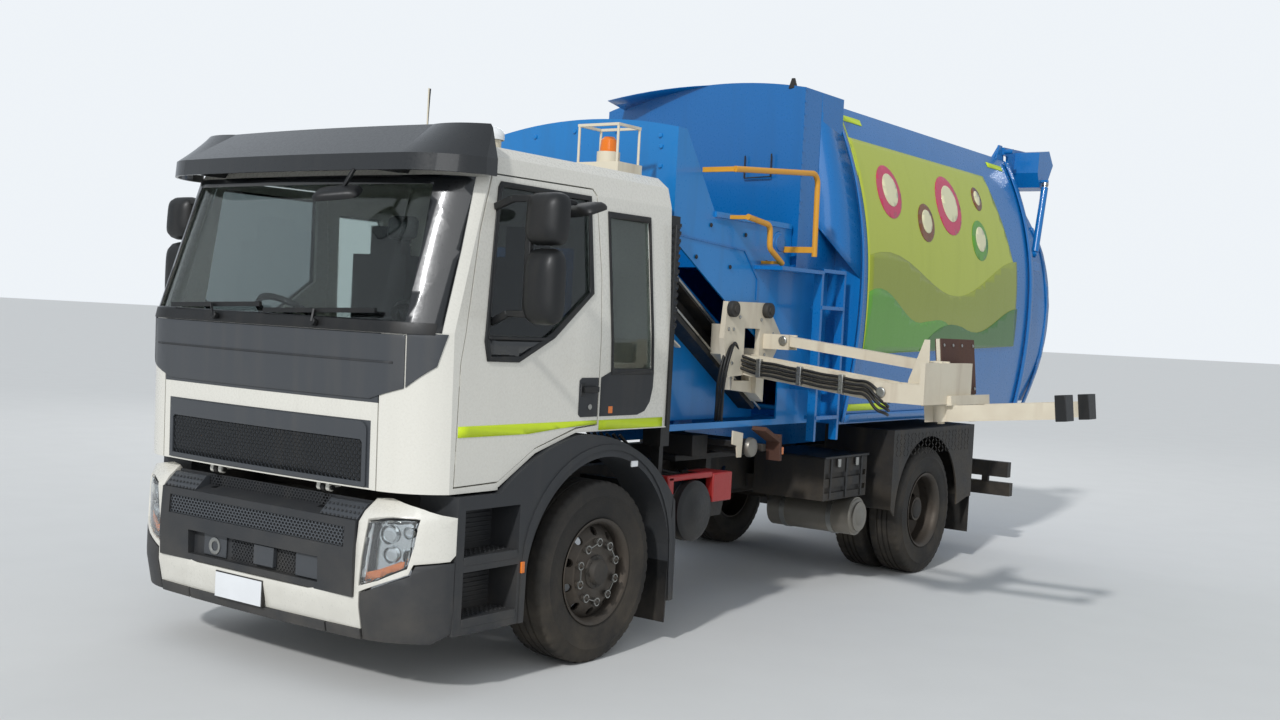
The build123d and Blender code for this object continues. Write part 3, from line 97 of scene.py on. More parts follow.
class Mat:
    """A small helper round one material's node tree."""

    def __init__(self, name):
        self.mat = bpy.data.materials.new(name)
        self.mat.use_nodes = True
        self.tree = self.mat.node_tree
        self.tree.nodes.clear()
        self.out = self.node("ShaderNodeOutputMaterial")
        self.bsdf = self.node("ShaderNodeBsdfPrincipled")
        self.link(self.bsdf.outputs[0], self.out.inputs[0])
        self.coord = self.node("ShaderNodeTexCoord").outputs["Object"]

    def node(self, kind, **sets):
        n = self.tree.nodes.new(kind)
        for key, value in sets.items():
            if key in n.inputs:
                n.inputs[key].default_value = value
            else:
                setattr(n, key, value)
        return n

    def link(self, a, b):
        self.tree.links.new(a, b)

    def noise(self, scale, detail=4.0, rough=0.55, stretch=None):
        n = self.node("ShaderNodeTexNoise", Scale=scale, Detail=detail, Roughness=rough)
        source = self.coord
        if stretch:
            m = self.node("ShaderNodeMapping")
            m.inputs["Scale"].default_value = stretch
            self.link(source, m.inputs[0])
            source = m.outputs[0]
        self.link(source, n.inputs["Vector"])
        return n.outputs["Fac"]

    def ramp(self, source, low, high, a=0.0, b=1.0):
        n = self.node("ShaderNodeMapRange")
        for key, value in (("From Min", low), ("From Max", high), ("To Min", a), ("To Max", b)):
            n.inputs[key].default_value = value
        self.link(source, n.inputs["Value"])
        return n.outputs["Result"]

    def maths(self, op, a, b):
        n = self.node("ShaderNodeMath", operation=op)
        for i, v in enumerate((a, b)):
            if isinstance(v, (int, float)):
                n.inputs[i].default_value = v
            else:
                self.link(v, n.inputs[i])
        return n.outputs[0]

    def mix(self, fac, a, b):
        n = self.node("ShaderNodeMix", data_type="RGBA")
        for socket, v in ((n.inputs["Factor"], fac), (n.inputs[6], a), (n.inputs[7], b)):
            if isinstance(v, (int, float, tuple)):
                socket.default_value = v
            else:
                self.link(v, socket)
        return n.outputs[2]

    def height(self):
        n = self.node("ShaderNodeSeparateXYZ")
        self.link(self.coord, n.inputs[0])
        return n.outputs["Z"]

    def bump(self, source, distance, strength=0.5):
        n = self.node("ShaderNodeBump", Strength=strength, Distance=distance)
        self.link(source, n.inputs["Height"])
        self.link(n.outputs[0], self.bsdf.inputs["Normal"])

    def set(self, **values):
        for key, value in values.items():
            self.bsdf.inputs[key.replace("_", " ")].default_value = value


def rgb(text):
    """Linear colour with alpha 1 from a hex string."""
    parts = [int(text[i:i + 2], 16) / 255 for i in (0, 2, 4)]
    return tuple(c / 12.92 if c <= 0.04045 else ((c + 0.055) / 1.055) ** 2.4 for c in parts) + (1.0,)


def finish_of(name, colour, rough, metal, coat, grime, grime_top, grime_much, spots, grain, grain_scale):
    """Painted, moulded or metal surface with dust that gathers low down and faint streaks."""
    m = Mat(name)
    base = rgb(colour)
    dirt = rgb(grime)
    patches = m.noise(3.2, 6.0, 0.6)
    streaks = m.noise(9.0, 3.0, 0.5, (1.0, 1.0, 0.12))
    fine = m.noise(grain_scale, 5.0, 0.6)
    low = m.ramp(m.height(), grime_top, 0.15, 0.0, grime_much)
    cover = m.maths("MULTIPLY", low, m.ramp(patches, 0.35, 0.7))
    faint = m.maths("MULTIPLY", m.ramp(streaks, 0.5, 0.75), spots)
    cover = m.maths("MAXIMUM", cover, faint)
    m.link(m.mix(cover, base, dirt), m.bsdf.inputs["Base Color"])
    swing = m.ramp(fine, 0.3, 0.7, rough - ROUGH_SWING / 2, rough + ROUGH_SWING / 2)
    m.link(m.maths("ADD", swing, m.maths("MULTIPLY", cover, 0.3)), m.bsdf.inputs["Roughness"])
    m.set(Metallic=metal, Coat_Weight=coat, Coat_Roughness=0.08)
    m.bump(fine, grain)
    return m.mat


def glass_of(name, tint, rough, clear):
    m = Mat(name)
    dust = m.noise(5.0, 5.0, 0.6)
    m.link(m.ramp(dust, 0.3, 0.8, rough, rough + 0.05), m.bsdf.inputs["Roughness"])
    m.bsdf.inputs["Base Color"].default_value = rgb(tint)
    m.set(IOR=1.45, Transmission_Weight=clear)
    return m.mat


# Colour, roughness, metal, coat, dust colour, height the dust reaches, its amount, streaks,
# bump, bump scale
FINISHES = {
    "cab_white": ("dddad0", 0.28, 0.0, 0.5, "8d8678", 1.1, 0.25, 0.05, 0.00006, 60.0),
    # The body's blue is the truck's one blue made deeper as painted shade, and the hopper's blue is the
    # same blue made lighter as painted sunlight.
    "shaded_body_blue": ("0a6cb2", 0.3, 0.0, 0.4, "27455c", 1.5, 0.3, 0.1, 0.00008, 60.0),
    "sunlit_hopper_blue": ("0c7cc4", 0.32, 0.0, 0.35, "2a5f86", 1.8, 0.5, 0.22, 0.0001, 60.0),
    "charcoal": ("2c2e31", 0.55, 0.0, 0.0, "6e675c", 1.0, 0.45, 0.12, 0.0008, 300.0),
    "hood_grey": ("3f4246", 0.42, 0.0, 0.1, "6e675c", 0.6, 0.3, 0.12, 0.0004, 300.0),
    "black": ("141516", 0.45, 0.0, 0.0, "5a5248", 0.9, 0.4, 0.12, 0.0006, 60.0),
    "frame_black": ("1a1a1b", 0.55, 0.0, 0.0, "6a5d4a", 1.3, 0.65, 0.3, 0.0006, 60.0),
    "smoke": ("16181a", 0.32, 0.0, 0.8, "5a5248", 0.9, 0.1, 0.04, 0.0006, 60.0),
    "tyre_rubber": ("1b1a19", 0.78, 0.0, 0.0, "6d6252", 1.3, 0.4, 0.12, 0.0012, 120.0),
    "rim_steel": ("55504a", 0.5, 0.6, 0.0, "4a3b2c", 2.0, 0.6, 0.3, 0.0006, 60.0),
    "tank_steel": ("8c8880", 0.4, 0.7, 0.0, "6a5d4a", 1.0, 0.5, 0.12, 0.0006, 60.0),
    "arm_cream": ("d9d0bb", 0.5, 0.0, 0.0, "7a5233", 3.0, 0.35, 0.35, 0.0006, 60.0),
    "rail_yellow": ("d99a2b", 0.4, 0.0, 0.0, "5a4a30", 0.9, 0.2, 0.15, 0.0006, 60.0),
    "steel": ("a8a8a4", 0.3, 0.9, 0.0, "4a4238", 0.9, 0.3, 0.15, 0.0006, 60.0),
    "cast": ("34322f", 0.7, 0.0, 0.0, "5a4d3d", 1.4, 0.6, 0.3, 0.0006, 60.0),
    "seat": ("26282c", 0.85, 0.0, 0.0, "4a4a48", 0.9, 0.1, 0.12, 0.0004, 200.0),
    "rust_red": ("a3201f", 0.4, 0.0, 0.2, "4a3026", 1.6, 0.4, 0.12, 0.0006, 60.0),
    "chartreuse": ("cbe21e", 0.35, 0.0, 0.0, "8f9a3a", 0.9, 0.2, 0.08, 0.0006, 60.0),
    "mesh_grey": ("4c5055", 0.4, 0.0, 0.0, "5a5248", 0.9, 0.2, 0.05, 0.0006, 60.0),
    "chrome": ("d4d7d8", 0.12, 1.0, 0.0, "5a5248", 0.9, 0.05, 0.02, 0.0, 60.0),
    "mirror": ("c8ced2", 0.05, 1.0, 0.0, "5a5248", 0.9, 0.0, 0.0, 0.0, 60.0),
    "lamp_white": ("f0f2f2", 0.2, 0.0, 0.0, "5a5248", 0.9, 0.0, 0.0, 0.0, 60.0),
    "amber": ("e8780f", 0.15, 0.0, 0.5, "5a5248", 0.9, 0.1, 0.03, 0.0, 60.0),
    "plate_white": ("e6e8ea", 0.35, 0.0, 0.0, "5a5248", 0.6, 0.2, 0.03, 0.0006, 60.0),
    "lamp_red": ("a81216", 0.15, 0.0, 0.5, "5a5248", 0.9, 0.1, 0.03, 0.0, 60.0),
    "pad_rust": ("4a2e24", 0.7, 0.0, 0.0, "6b4a35", 3.0, 0.6, 0.5, 0.002, 60.0),
    "hose": ("121212", 0.5, 0.0, 0.0, "4a453c", 2.5, 0.3, 0.15, 0.0008, 200.0),
    "print_green": ("8f9a2a", 0.35, 0.0, 0.3, "6f7a2a", 0.9, 0.1, 0.1, 0.0006, 60.0),
    "print_lime": ("b4bf3c", 0.35, 0.0, 0.3, "7d8a2c", 1.9, 0.4, 0.08, 0.0006, 60.0),
    "print_leaf": ("5c9a2e", 0.35, 0.0, 0.3, "48702a", 0.9, 0.1, 0.08, 0.0006, 60.0),
    "print_deep": ("3f6f2c", 0.35, 0.0, 0.3, "34542a", 0.9, 0.1, 0.08, 0.0006, 60.0),
    "print_pink": ("c9355c", 0.35, 0.0, 0.3, "8a3048", 0.9, 0.1, 0.08, 0.0006, 60.0),
    "print_rust": ("7c4a26", 0.35, 0.0, 0.3, "54341c", 0.9, 0.1, 0.08, 0.0006, 60.0),
    "print_cream": ("e4dfb6", 0.35, 0.0, 0.3, "a8a274", 0.9, 0.1, 0.08, 0.0006, 60.0),
}
GLASSES = {"glass": ("c8d2d0", 0.01, 1.0), "door_tint": ("7c8486", 0.01, 1.0),
    "lamp_glass": ("f2f5f6", 0.02, 0.95)}
M = {name: finish_of(name, *values) for name, values in FINISHES.items()}
M.update({name: glass_of(name, *values) for name, values in GLASSES.items()})

CAD_LOOKS = {
    "cab_white": "cab_shell door_left door_right front_flap front_bumper",
    # The body pieces take the blue darkened with painted shade, and the hopper takes the blue lightened
    # with painted sunlight.
    "shaded_body_blue": "body_shell tailgate ladder packer_blade gate_barrel_left gate_barrel_right",
    "sunlit_hopper_blue": "hopper",
    "charcoal": "mirrors_left mirrors_right front_guards bumper_grille",
    "hood_grey": "flap_panels",
    "black": "wipers dashboard snorkel",
    "smoke": "sun_visor",
    "frame_black": "chassis_frame front_axle rear_axle knuckle_left knuckle_right rear_bar rear_guards "
        "arm_track side_boxes hoist_barrel",
    "tyre_rubber": "front_tyre_left front_tyre_right rear_tyres_left rear_tyres_right",
    "rim_steel": "front_rim_left front_rim_right rear_rims_left rear_rims_right",
    "tank_steel": "tanks",
    "arm_cream": "carriage upper_link lower_link gripper_head finger_front finger_rear roof_fittings",
    "rail_yellow": "handrails",
    "steel": "gate_rod_left gate_rod_right hoist_rod",
    "cast": "engine_block",
    "seat": "seats",
    "glass": "cab_glass",
    "door_tint": "door_glass_left door_glass_right",
    "lamp_glass": "headlamps",
}

for look, node_names in CAD_LOOKS.items():
    for node_name in node_names.split():
        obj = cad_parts.get(node_name)
        if obj is not None:
            for slot_at in obj.material_slots:
                slot_at.material = M[look]

# Mesh helpers


def at(x, y, z):
    """Point in the row frame from truck coordinates."""
    return Vector((x, y, z)) + OFF


def finish(bm, name, look, body, slot=None, replaced=(), bevel=0.0, smooth=True, segments=2):
    """Turn a bmesh into a piece that rides on a body and takes a material."""
    bmesh.ops.remove_doubles(bm, verts=bm.verts, dist=1e-5)
    bmesh.ops.recalc_face_normals(bm, faces=bm.faces)
    mesh = bpy.data.meshes.new(name)
    bm.to_mesh(mesh)
    bm.free()
    mesh.materials.append(M[look])
    obj = bpy.data.objects.new(name, mesh)
    bpy.context.scene.collection.objects.link(obj)
    if smooth:
        mesh.polygons.foreach_set("use_smooth", [True] * len(mesh.polygons))
        mesh.set_sharp_from_angle(angle=radians(32))
    if bevel:
        mod = obj.modifiers.new("bevel", "BEVEL")
        mod.width = bevel
        mod.segments = segments
        mod.limit_method = "ANGLE"
        mod.angle_limit = radians(35)
    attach(obj, body)
    if replaced:
        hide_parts(*replaced)
    return obj


def make(name, look, body, *forms, **how):
    """One piece from several forms, each a helper with its values."""
    bm = bmesh.new()
    for form, *values in forms:
        form(bm, *values)
    finish(bm, name, look, body, **how)


def box_of(bm, xs, ys, zs, place):
    """Box between pairs of coordinates that place turns into points."""
    v = [bm.verts.new(place(x, y, z)) for z in zs for y in ys for x in xs]
    for q in ((0, 1, 3, 2), (4, 6, 7, 5), (0, 4, 5, 1), (2, 3, 7, 6), (0, 2, 6, 4), (1, 5, 7, 3)):
        bm.faces.new([v[i] for i in q])


def block(bm, x0, x1, y0, y1, z0, z1):
    """Box along the truck's axes."""
    box_of(bm, sorted((x0, x1)), sorted((y0, y1)), (z0, z1), at)


def slab(bm, points, push):
    """Plate: a flat outline of truck points pushed along a vector."""
    push = Vector(push)
    a = [bm.verts.new(at(*p)) for p in points]
    b = [bm.verts.new(v.co + push) for v in a]
    bm.faces.new(a)
    bm.faces.new(list(reversed(b)))
    n = len(a)
    for i in range(n):
        bm.faces.new((a[i], b[i], b[(i + 1) % n], a[(i + 1) % n]))


def bar(bm, a, b, w, h, up=(0, 0, 1)):
    """Rectangular bar from a to b, w across and h along up."""
    a, b = at(*a), at(*b)
    d = (b - a).normalized()
    side = d.cross(Vector(up)).normalized()
    top = side.cross(d)
    corners = ((-1, -1), (1, -1), (1, 1), (-1, 1))
    ends = [[bm.verts.new(p + side * (w / 2 * i) + top * (h / 2 * j)) for i, j in corners]
        for p in (a, b)]
    bm.faces.new(list(reversed(ends[0])))
    bm.faces.new(ends[1])
    for i in range(4):
        k = (i + 1) % 4
        bm.faces.new((ends[0][i], ends[0][k], ends[1][k], ends[1][i]))


def rings(bm, profile, centre, axis, steps=48, lug=None, closed=False):
    """Turned form: profile points of (radius, distance along the axis) about a centre."""
    axis = Vector(axis).normalized()
    u = axis.orthogonal().normalized()
    v = axis.cross(u)
    c = at(*centre)
    grid = []
    for j in range(steps):
        a = 2 * pi * j / steps
        ray = u * cos(a) + v * sin(a)
        grid.append([bm.verts.new(c + axis * h + ray * (r + (lug(i, j) if lug else 0.0)))
            for i, (r, h) in enumerate(profile)])
    n = len(profile)
    for j in range(steps):
        k = (j + 1) % steps
        for i in range(n if closed else n - 1):
            m = (i + 1) % n
            bm.faces.new((grid[j][i], grid[k][i], grid[k][m], grid[j][m]))


def disc_at(bm, centre, axis, r, length, steps=24, cap=0.0):
    """Short round bar, with a small chamfer where cap is given."""
    rings(bm, [(1e-4, 0), (r - cap, 0), (r, cap), (r, length - cap), (r - cap, length), (1e-4, length)],
        centre, axis, steps)


def tube(name, points, r, body, look="hose"):
    """Round tube along a route of truck points."""
    data = bpy.data.curves.new(name, "CURVE")
    data.dimensions = "3D"
    data.bevel_depth = r
    data.bevel_resolution = 3
    data.use_fill_caps = True
    line = data.splines.new("NURBS")
    line.points.add(len(points) - 1)
    for p, q in zip(line.points, points):
        p.co = (*at(*q), 1.0)
    line.order_u = 3
    line.use_endpoint_u = True
    data.materials.append(M[look])
    obj = bpy.data.objects.new(name, data)
    bpy.context.scene.collection.objects.link(obj)
    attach(obj, body)


# Share of its chord by which a round corner stands out
CORNER_SAG = 0.15


def arc_y(x, half, side_y, corner_x, corner_y, front_y):
    """Front face of a cab-like plan at x: bowed middle, round corner."""
    x = abs(x)
    if x <= corner_x:
        sag = corner_y - front_y
        radius = (corner_x ** 2 + sag ** 2) / (2 * sag)
        return front_y + radius - sqrt(radius ** 2 - x * x)
    x = min(x, half)
    dx, dy = corner_x - half, corner_y - side_y
    bend = Vector(((half + corner_x) / 2 - dy * CORNER_SAG, (side_y + corner_y) / 2 + dx * CORNER_SAG))
    a, b = Vector((half, side_y)), Vector((corner_x, corner_y))
    chord = (b - a).length
    sag = abs(chord * CORNER_SAG)
    radius = (chord ** 2 / 4 + sag ** 2) / (2 * sag)
    mid = (a + b) / 2
    centre = mid - (bend - mid).normalized() * (radius - sag)
    return centre.y - sqrt(max(radius ** 2 - (x - centre.x) ** 2, 0.0))


# Height, half width, y where the side ends, corner x, corner y, middle y
CAB_ROWS = ((1.032, 1.15, -1.225, 0.8, -1.424, -1.448), (1.82, 1.15, -1.24, 0.8, -1.44, -1.475),
    (2.6, 1.112, -1.005, 0.78, -1.195, -1.235), (2.715, 1.085, -0.955, 0.76, -1.12, -1.16))
BUMPER_ROW = (1.16, -1.195, 0.8, -1.462, -1.488)


def cab_row(z):
    for low, high in zip(CAB_ROWS, CAB_ROWS[1:]):
        if z <= high[0] or high is CAB_ROWS[-1]:
            t = (z - low[0]) / (high[0] - low[0])
            return [p + (q - p) * t for p, q in zip(low[1:], high[1:])]


def cab_front(out):
    def point(x, z):
        return at(x, arc_y(x, *cab_row(z)) - out, z)
    return point


def cab_side(sx, out):
    def point(y, z):
        return at(sx * (cab_row(z)[0] + out), y, z)
    return point


# Half width and height of the body's side
BODY_ROWS = ((1.15, 1.25), (1.232, 1.75), (1.258, 2.3), (1.19, 2.89), (0.934, 3.561))


def circle_x(a, b, c, z):
    """x at height z on the circle through three (x, z) points, on its outer side."""
    (ax, az), (bx, bz), (cx, cz) = a, b, c
    d = 2 * (ax * (bz - cz) + bx * (cz - az) + cx * (az - bz))
    aa, bb, cc = ax ** 2 + az ** 2, bx ** 2 + bz ** 2, cx ** 2 + cz ** 2
    ox = (aa * (bz - cz) + bb * (cz - az) + cc * (az - bz)) / d
    oz = (aa * (cx - bx) + bb * (ax - cx) + cc * (bx - ax)) / d
    r = hypot(ax - ox, az - oz)
    return ox + sqrt(max(r ** 2 - (z - oz) ** 2, 0.0))


def body_x(z):
    if z <= 2.3:
        return circle_x(*BODY_ROWS[:3], z)
    return circle_x(*BODY_ROWS[2:], z)


def body_side(sx, out):
    def point(y, z):
        return at(sx * (body_x(z) + out), y, z)
    return point


def skin(name, loops, surface, thick, look, body, step, slot=None, replaced=(), bevel=0.0):
    """Curved panel: flat loops of (u, v), the first the rim and the rest its holes, laid on a surface."""
    bm = bmesh.new()
    edges = []
    for loop in loops:
        verts = [bm.verts.new((u, 0.0, v)) for u, v in loop]
        edges += [bm.edges.new((verts[i], verts[(i + 1) % len(verts)])) for i in range(len(verts))]
    bmesh.ops.triangle_fill(bm, use_beauty=True, use_dissolve=False, edges=edges, normal=(0, -1, 0))
    us = [u for u, v in loops[0]]
    vs = [v for u, v in loops[0]]
    for low, high, normal, k in ((min(us), max(us), (1, 0, 0), 0), (min(vs), max(vs), (0, 0, 1), 2)):
        for i in range(1, int((high - low) / step) + 1):
            spot = [0, 0, 0]
            spot[k] = low + i * step
            bmesh.ops.bisect_plane(bm, geom=bm.verts[:] + bm.edges[:] + bm.faces[:], plane_co=spot,
                plane_no=normal)
    for vert in bm.verts:
        vert.co = surface(vert.co.x, vert.co.z)
    bmesh.ops.recalc_face_normals(bm, faces=bm.faces)
    obj = finish(bm, name, look, body, slot, replaced)
    mod = obj.modifiers.new("thickness", "SOLIDIFY")
    mod.thickness = thick
    mod.offset = 0.0
    if bevel:
        edge = obj.modifiers.new("bevel", "BEVEL")
        edge.width = bevel
        edge.segments = 2
        edge.limit_method = "ANGLE"
        edge.angle_limit = radians(50)
    return obj


def oblong(u0, v0, u1, v1):
    return [(u0, v0), (u1, v0), (u1, v1), (u0, v1)]


def flipped(points):
    """The same outline on the other side of the middle plane, run backwards."""
    return [(-x, z) for x, z in reversed(points)]


def arc_points(cx, cz, r, a0, a1, n):
    return [(cx + r * cos(radians(a0 + (a1 - a0) * i / n)),
        cz + r * sin(radians(a0 + (a1 - a0) * i / n))) for i in range(n + 1)]


def honeycomb(name, u0, u1, v0, v1, surface_of, cell, look, body, depth):
    """Hexagon mesh laid on a surface."""
    wall = 0.16
    bm = bmesh.new()
    dx, dz = cell, cell * 0.62
    row, v = 0, v0
    front, back = surface_of(0.0), surface_of(-depth)
    while v < v1:
        u = u0 + (dx / 2 if row % 2 else 0)
        while u < u1:
            outer, inner, deep = [], [], []
            for k in range(6):
                a = pi / 6 + k * pi / 3
                du, dv = dx * 0.577 * cos(a), dz * 0.667 * sin(a)
                outer.append(bm.verts.new(front(u + du, v + dv)))
                inner.append(bm.verts.new(front(u + du * (1 - wall * 1.6), v + dv * (1 - wall * 1.6))))
                deep.append(bm.verts.new(back(u + du * (1 - wall), v + dv * (1 - wall))))
            for k in range(6):
                m = (k + 1) % 6
                bm.faces.new((outer[k], outer[m], inner[m], inner[k]))
                bm.faces.new((inner[k], inner[m], deep[m], deep[k]))
            u += dx
        v += dz
        row += 1
    finish(bm, name, look, body, smooth=False)


def dots(name, spots, r, length, axis, look, body, steps=10, slot=None):
    """Rivets or bolt heads at truck points, all turned the same way."""
    make(name, look, body, *((disc_at, p, axis, r, length, steps, min(r, length) * 0.4) for p in spots),
        slot=slot)


# Wheels

TYRE_R = 0.51
RIM_R = 0.287
FRONT_X = 1.012
TYRE_W = 0.3
TWIN_W = 0.272
TWIN_OUT = 1.19 - TWIN_W / 2
TWIN_IN = TWIN_OUT - TWIN_W - 0.042
REAR_Y = (middle("rear_rims_left") - OFF).y
NUT_CIRCLE = 0.1675
NUTS = 10
HUB_BOLTS = 0.082


def tyre_profile(w):
    """Half section of a tyre: bead, bulged wall, round shoulder and grooved tread."""
    hw = w / 2
    side = [(RIM_R + 0.002, hw - 0.03), (RIM_R + 0.012, hw - 0.02), (RIM_R + 0.022, hw - 0.014),
        (0.33, hw - 0.006), (0.375, hw - 0.001), (0.42, hw - 0.001), (0.424, hw + 0.001),
        (0.43, hw + 0.001), (0.434, hw - 0.003), (0.462, hw - 0.01), (0.48, hw - 0.014), (0.497, hw - 0.02),
        (0.507, hw - 0.03)]
    tread = [(TYRE_R, hw - 0.042)]
    for g in (0.42, 0.0):
        c = (hw - 0.035) * g
        for part in ((c + 0.0075, 0.0), (c + 0.004, -0.014), (c - 0.004, -0.014), (c - 0.0075, 0.0)):
            tread.append((TYRE_R + part[1], part[0]))
    half = side + tread
    other = [(r, -h) for r, h in reversed(half[:-4])]
    return half + other


def tyre(name, x, y, w, body, replaced=()):
    profile = tyre_profile(w)
    edge = {i for i, (r, h) in enumerate(profile) if r > 0.478 and abs(h) > w / 2 - 0.045}

    def lug(i, j):
        return -0.007 if i in edge and j % 4 == 0 else 0.0
    make(name, "tyre_rubber", body, (rings, profile, (x, y, TYRE_R), (1, 0, 0), 192, lug),
        replaced=replaced)


def rim_ring(bm, x, y, w, out):
    """Rolled flange and gutter of a rim on its outer side."""
    hw = w / 2
    profile = [(0.2755, hw - 0.1), (0.2755, hw - 0.052), (0.272, hw - 0.04), (0.28, hw - 0.03),
        (0.288, hw - 0.022), (0.297, hw - 0.016), (0.3, hw - 0.011), (0.297, hw - 0.008),
        (0.287, hw - 0.012), (0.279, hw - 0.02), (0.268, hw - 0.036), (0.266, hw - 0.06), (0.264, hw - 0.1)]
    rings(bm, profile, (x, y, TYRE_R), (out, 0, 0), 96)


def nut_at(x, y, i):
    """Middle of one wheel nut."""
    a = 2 * pi * (i + 0.5) / NUTS
    return (x, y + NUT_CIRCLE * cos(a), TYRE_R + NUT_CIRCLE * sin(a))


def nuts(bm, x, y, out):
    """Wheel nuts on a circle, each a hexagon on a washer with a rounded end."""
    size, length = 0.0165, 0.03
    for i in range(NUTS):
        p = nut_at(x, y, i)
        disc_at(bm, p, (out, 0, 0), size * 1.18, 0.005, 16)
        rings(bm, [(size * 0.7, 0.0), (size, 0.003), (size, length - 0.006), (size * 0.75, length)], p,
            (out, 0, 0), 6)
        disc_at(bm, p, (out, 0, 0), size * 0.55, length + 0.008, 12, 0.002)


def nut_links(bm, x, y, out):
    """Thin clip joining every pair of nuts, that shows when one turns."""
    for i in range(0, NUTS, 2):
        p, q = (nut_at(x + out * 0.022, y, k) for k in (i, i + 1))
        bar(bm, p, q, 0.004, 0.008, (1, 0, 0))
        for t in (p, q):
            rings(bm, oblong(0.018, -0.004, 0.024, 0.004), t, (out, 0, 0), 16, closed=True)


for sx, side in SIDES:
    body = f"wheel_front_{side}"
    tyre(f"front_tyre_{side}_tread", sx * FRONT_X, 0.0, TYRE_W, body, (f"front_tyre_{side}",))
    make(f"front_flange_{side}", "rim_steel", body, (rim_ring, sx * FRONT_X, 0.0, TYRE_W, sx))
    disc_face = sx * (FRONT_X + 0.124)
    make(f"front_nuts_{side}", "cast", body, (nuts, disc_face, 0.0, sx))
    make(f"front_nut_clips_{side}", "steel", body, (nut_links, disc_face, 0.0, sx), slot="rim_steel")
    make(f"front_hub_cap_{side}", "cast", body, (rings, [(0.001, 0.048), (0.045, 0.047), (0.062, 0.042),
        (0.07, 0.03), (0.072, 0.012), (0.092, 0.008), (0.096, 0.0), (0.098, -0.02)],
        (disc_face, 0, TYRE_R), (sx, 0, 0), 48))
    dots(f"front_hub_bolts_{side}", [(sx * (FRONT_X + 0.13), HUB_BOLTS * cos(k * pi / 4),
        TYRE_R + HUB_BOLTS * sin(k * pi / 4)) for k in range(8)], 0.006, 0.008, (sx, 0, 0), "cast", body)

    body = f"wheels_rear_{side}"
    tyre(f"rear_tyre_outer_{side}", sx * TWIN_OUT, REAR_Y, TWIN_W, body, (f"rear_tyres_{side}",))
    tyre(f"rear_tyre_inner_{side}", sx * TWIN_IN, REAR_Y, TWIN_W, body)
    make(f"rear_flange_{side}", "rim_steel", body, (rim_ring, sx * TWIN_OUT, REAR_Y, TWIN_W, sx))
    joint = sx * (TWIN_OUT + TWIN_IN) / 2
    make(f"rear_nuts_{side}", "cast", body, (nuts, joint + sx * 0.014, REAR_Y, sx))
    make(f"rear_hub_cap_{side}", "cast", body, (rings, [(0.001, 0.062), (0.06, 0.061), (0.074, 0.054),
        (0.078, 0.04), (0.08, 0.0), (0.094, -0.004), (0.096, -0.02)],
        (sx * (TWIN_OUT + 0.01), REAR_Y, TYRE_R), (sx, 0, 0), 48))

# Bumper

BUMPER_HALF = ((0.798, 0.352), (0.8, 0.535), (1.03, 0.64), (1.046, 0.69), (1.148, 0.705), (1.159, 0.735),
    (1.159, 0.917), (1.06, 0.95), (0.874, 0.975), (0.79, 0.968), (0.775, 0.8), (0.755, 0.64), (0.69, 0.545),
    (0.45, 0.5))
LAMP = ((0.838, 0.885), (0.95, 0.902), (1.06, 0.905), (1.046, 0.78), (1.024, 0.668), (0.9, 0.6),
    (0.795, 0.562), (0.806, 0.7))
CORNER_PANEL = ((0.806, 0.3), (0.808, 0.528), (1.036, 0.632), (1.054, 0.682), (1.159, 0.697),
    (1.159, 0.356), (1.1, 0.3))


def bumper_form(out):
    """Bumper surface with its top sloped back and its foot drawn in."""
    def point(x, z):
        y = arc_y(x, *BUMPER_ROW) - out
        y += max(0.0, z - 0.89) * 1.3 * (1.0 if abs(x) < 0.9 else max(0.0, 1.0 - (abs(x) - 0.9) / 0.26))
        y += max(0.0, 0.47 - z) * 0.22
        return at(x, y, z)
    return point


skin("bumper_white", [list(BUMPER_HALF) + flipped(BUMPER_HALF), list(LAMP), flipped(LAMP)],
    bumper_form(-0.022), 0.044, "cab_white", "chassis", 0.04, replaced=("front_bumper",), bevel=0.004)


def inset(points, d):
    """Outline drawn in towards its middle by a distance."""
    cx = sum(p[0] for p in points) / len(points)
    cz = sum(p[1] for p in points) / len(points)
    out = []
    for x, z in points:
        r = hypot(x - cx, z - cz)
        out.append((cx + (x - cx) * (1 - d / r), cz + (z - cz) * (1 - d / r)))
    return out


for sx, side in SIDES:
    lamp = [(sx * x, z) for x, z in LAMP]
    corner = [(sx * x, z) for x, z in CORNER_PANEL]
    skin(f"bumper_corner_{side}", [corner], bumper_form(-0.018), 0.04, "charcoal", "chassis", 0.04,
        bevel=0.004)
    skin(f"headlamp_lens_{side}", [inset(lamp, 0.004)], bumper_form(-0.008), 0.004, "lamp_glass", "chassis",
        0.03, replaced=("headlamps",) if sx > 0 else ())
    skin(f"headlamp_bowl_{side}", [inset(lamp, 0.003)], bumper_form(-0.075), 0.006, "chrome", "chassis",
        0.03)
    skin(f"headlamp_wall_{side}", [lamp, inset(lamp, 0.012)], bumper_form(-0.044), 0.055, "black",
        "chassis", 0.03)
    guide = [(0.828, 0.868), (0.852, 0.871), (0.828, 0.7), (0.818, 0.606), (0.803, 0.6), (0.812, 0.7)]
    skin(f"lamp_guide_{side}", [[(sx * x, z) for x, z in guide]], bumper_form(-0.03), 0.012, "lamp_white",
        "chassis", 0.03)
    amber = [(0.812, 0.59), (0.905, 0.622), (1.0, 0.672), (1.006, 0.704), (0.9, 0.655), (0.818, 0.628)]
    skin(f"lamp_amber_{side}", [[(sx * x, z) for x, z in amber]], bumper_form(-0.034), 0.014, "amber",
        "chassis", 0.03)
    bm = bmesh.new()
    for x, z, r in ((0.915, 0.822, 0.046), (0.928, 0.724, 0.04), (1.005, 0.838, 0.03)):
        p = bumper_form(-0.07)(sx * x, z) - OFF
        rings(bm, [(0.001, 0.018), (r * 0.55, 0.02), (r * 0.8, 0.016), (r * 0.84, 0.0), (r * 0.88, 0.0),
            (r, 0.03), (r * 1.05, 0.03), (r * 1.02, 0.0)], p, (0.25 * sx, -1, 0), 32)
    finish(bm, f"headlamp_units_{side}", "chrome", "chassis")

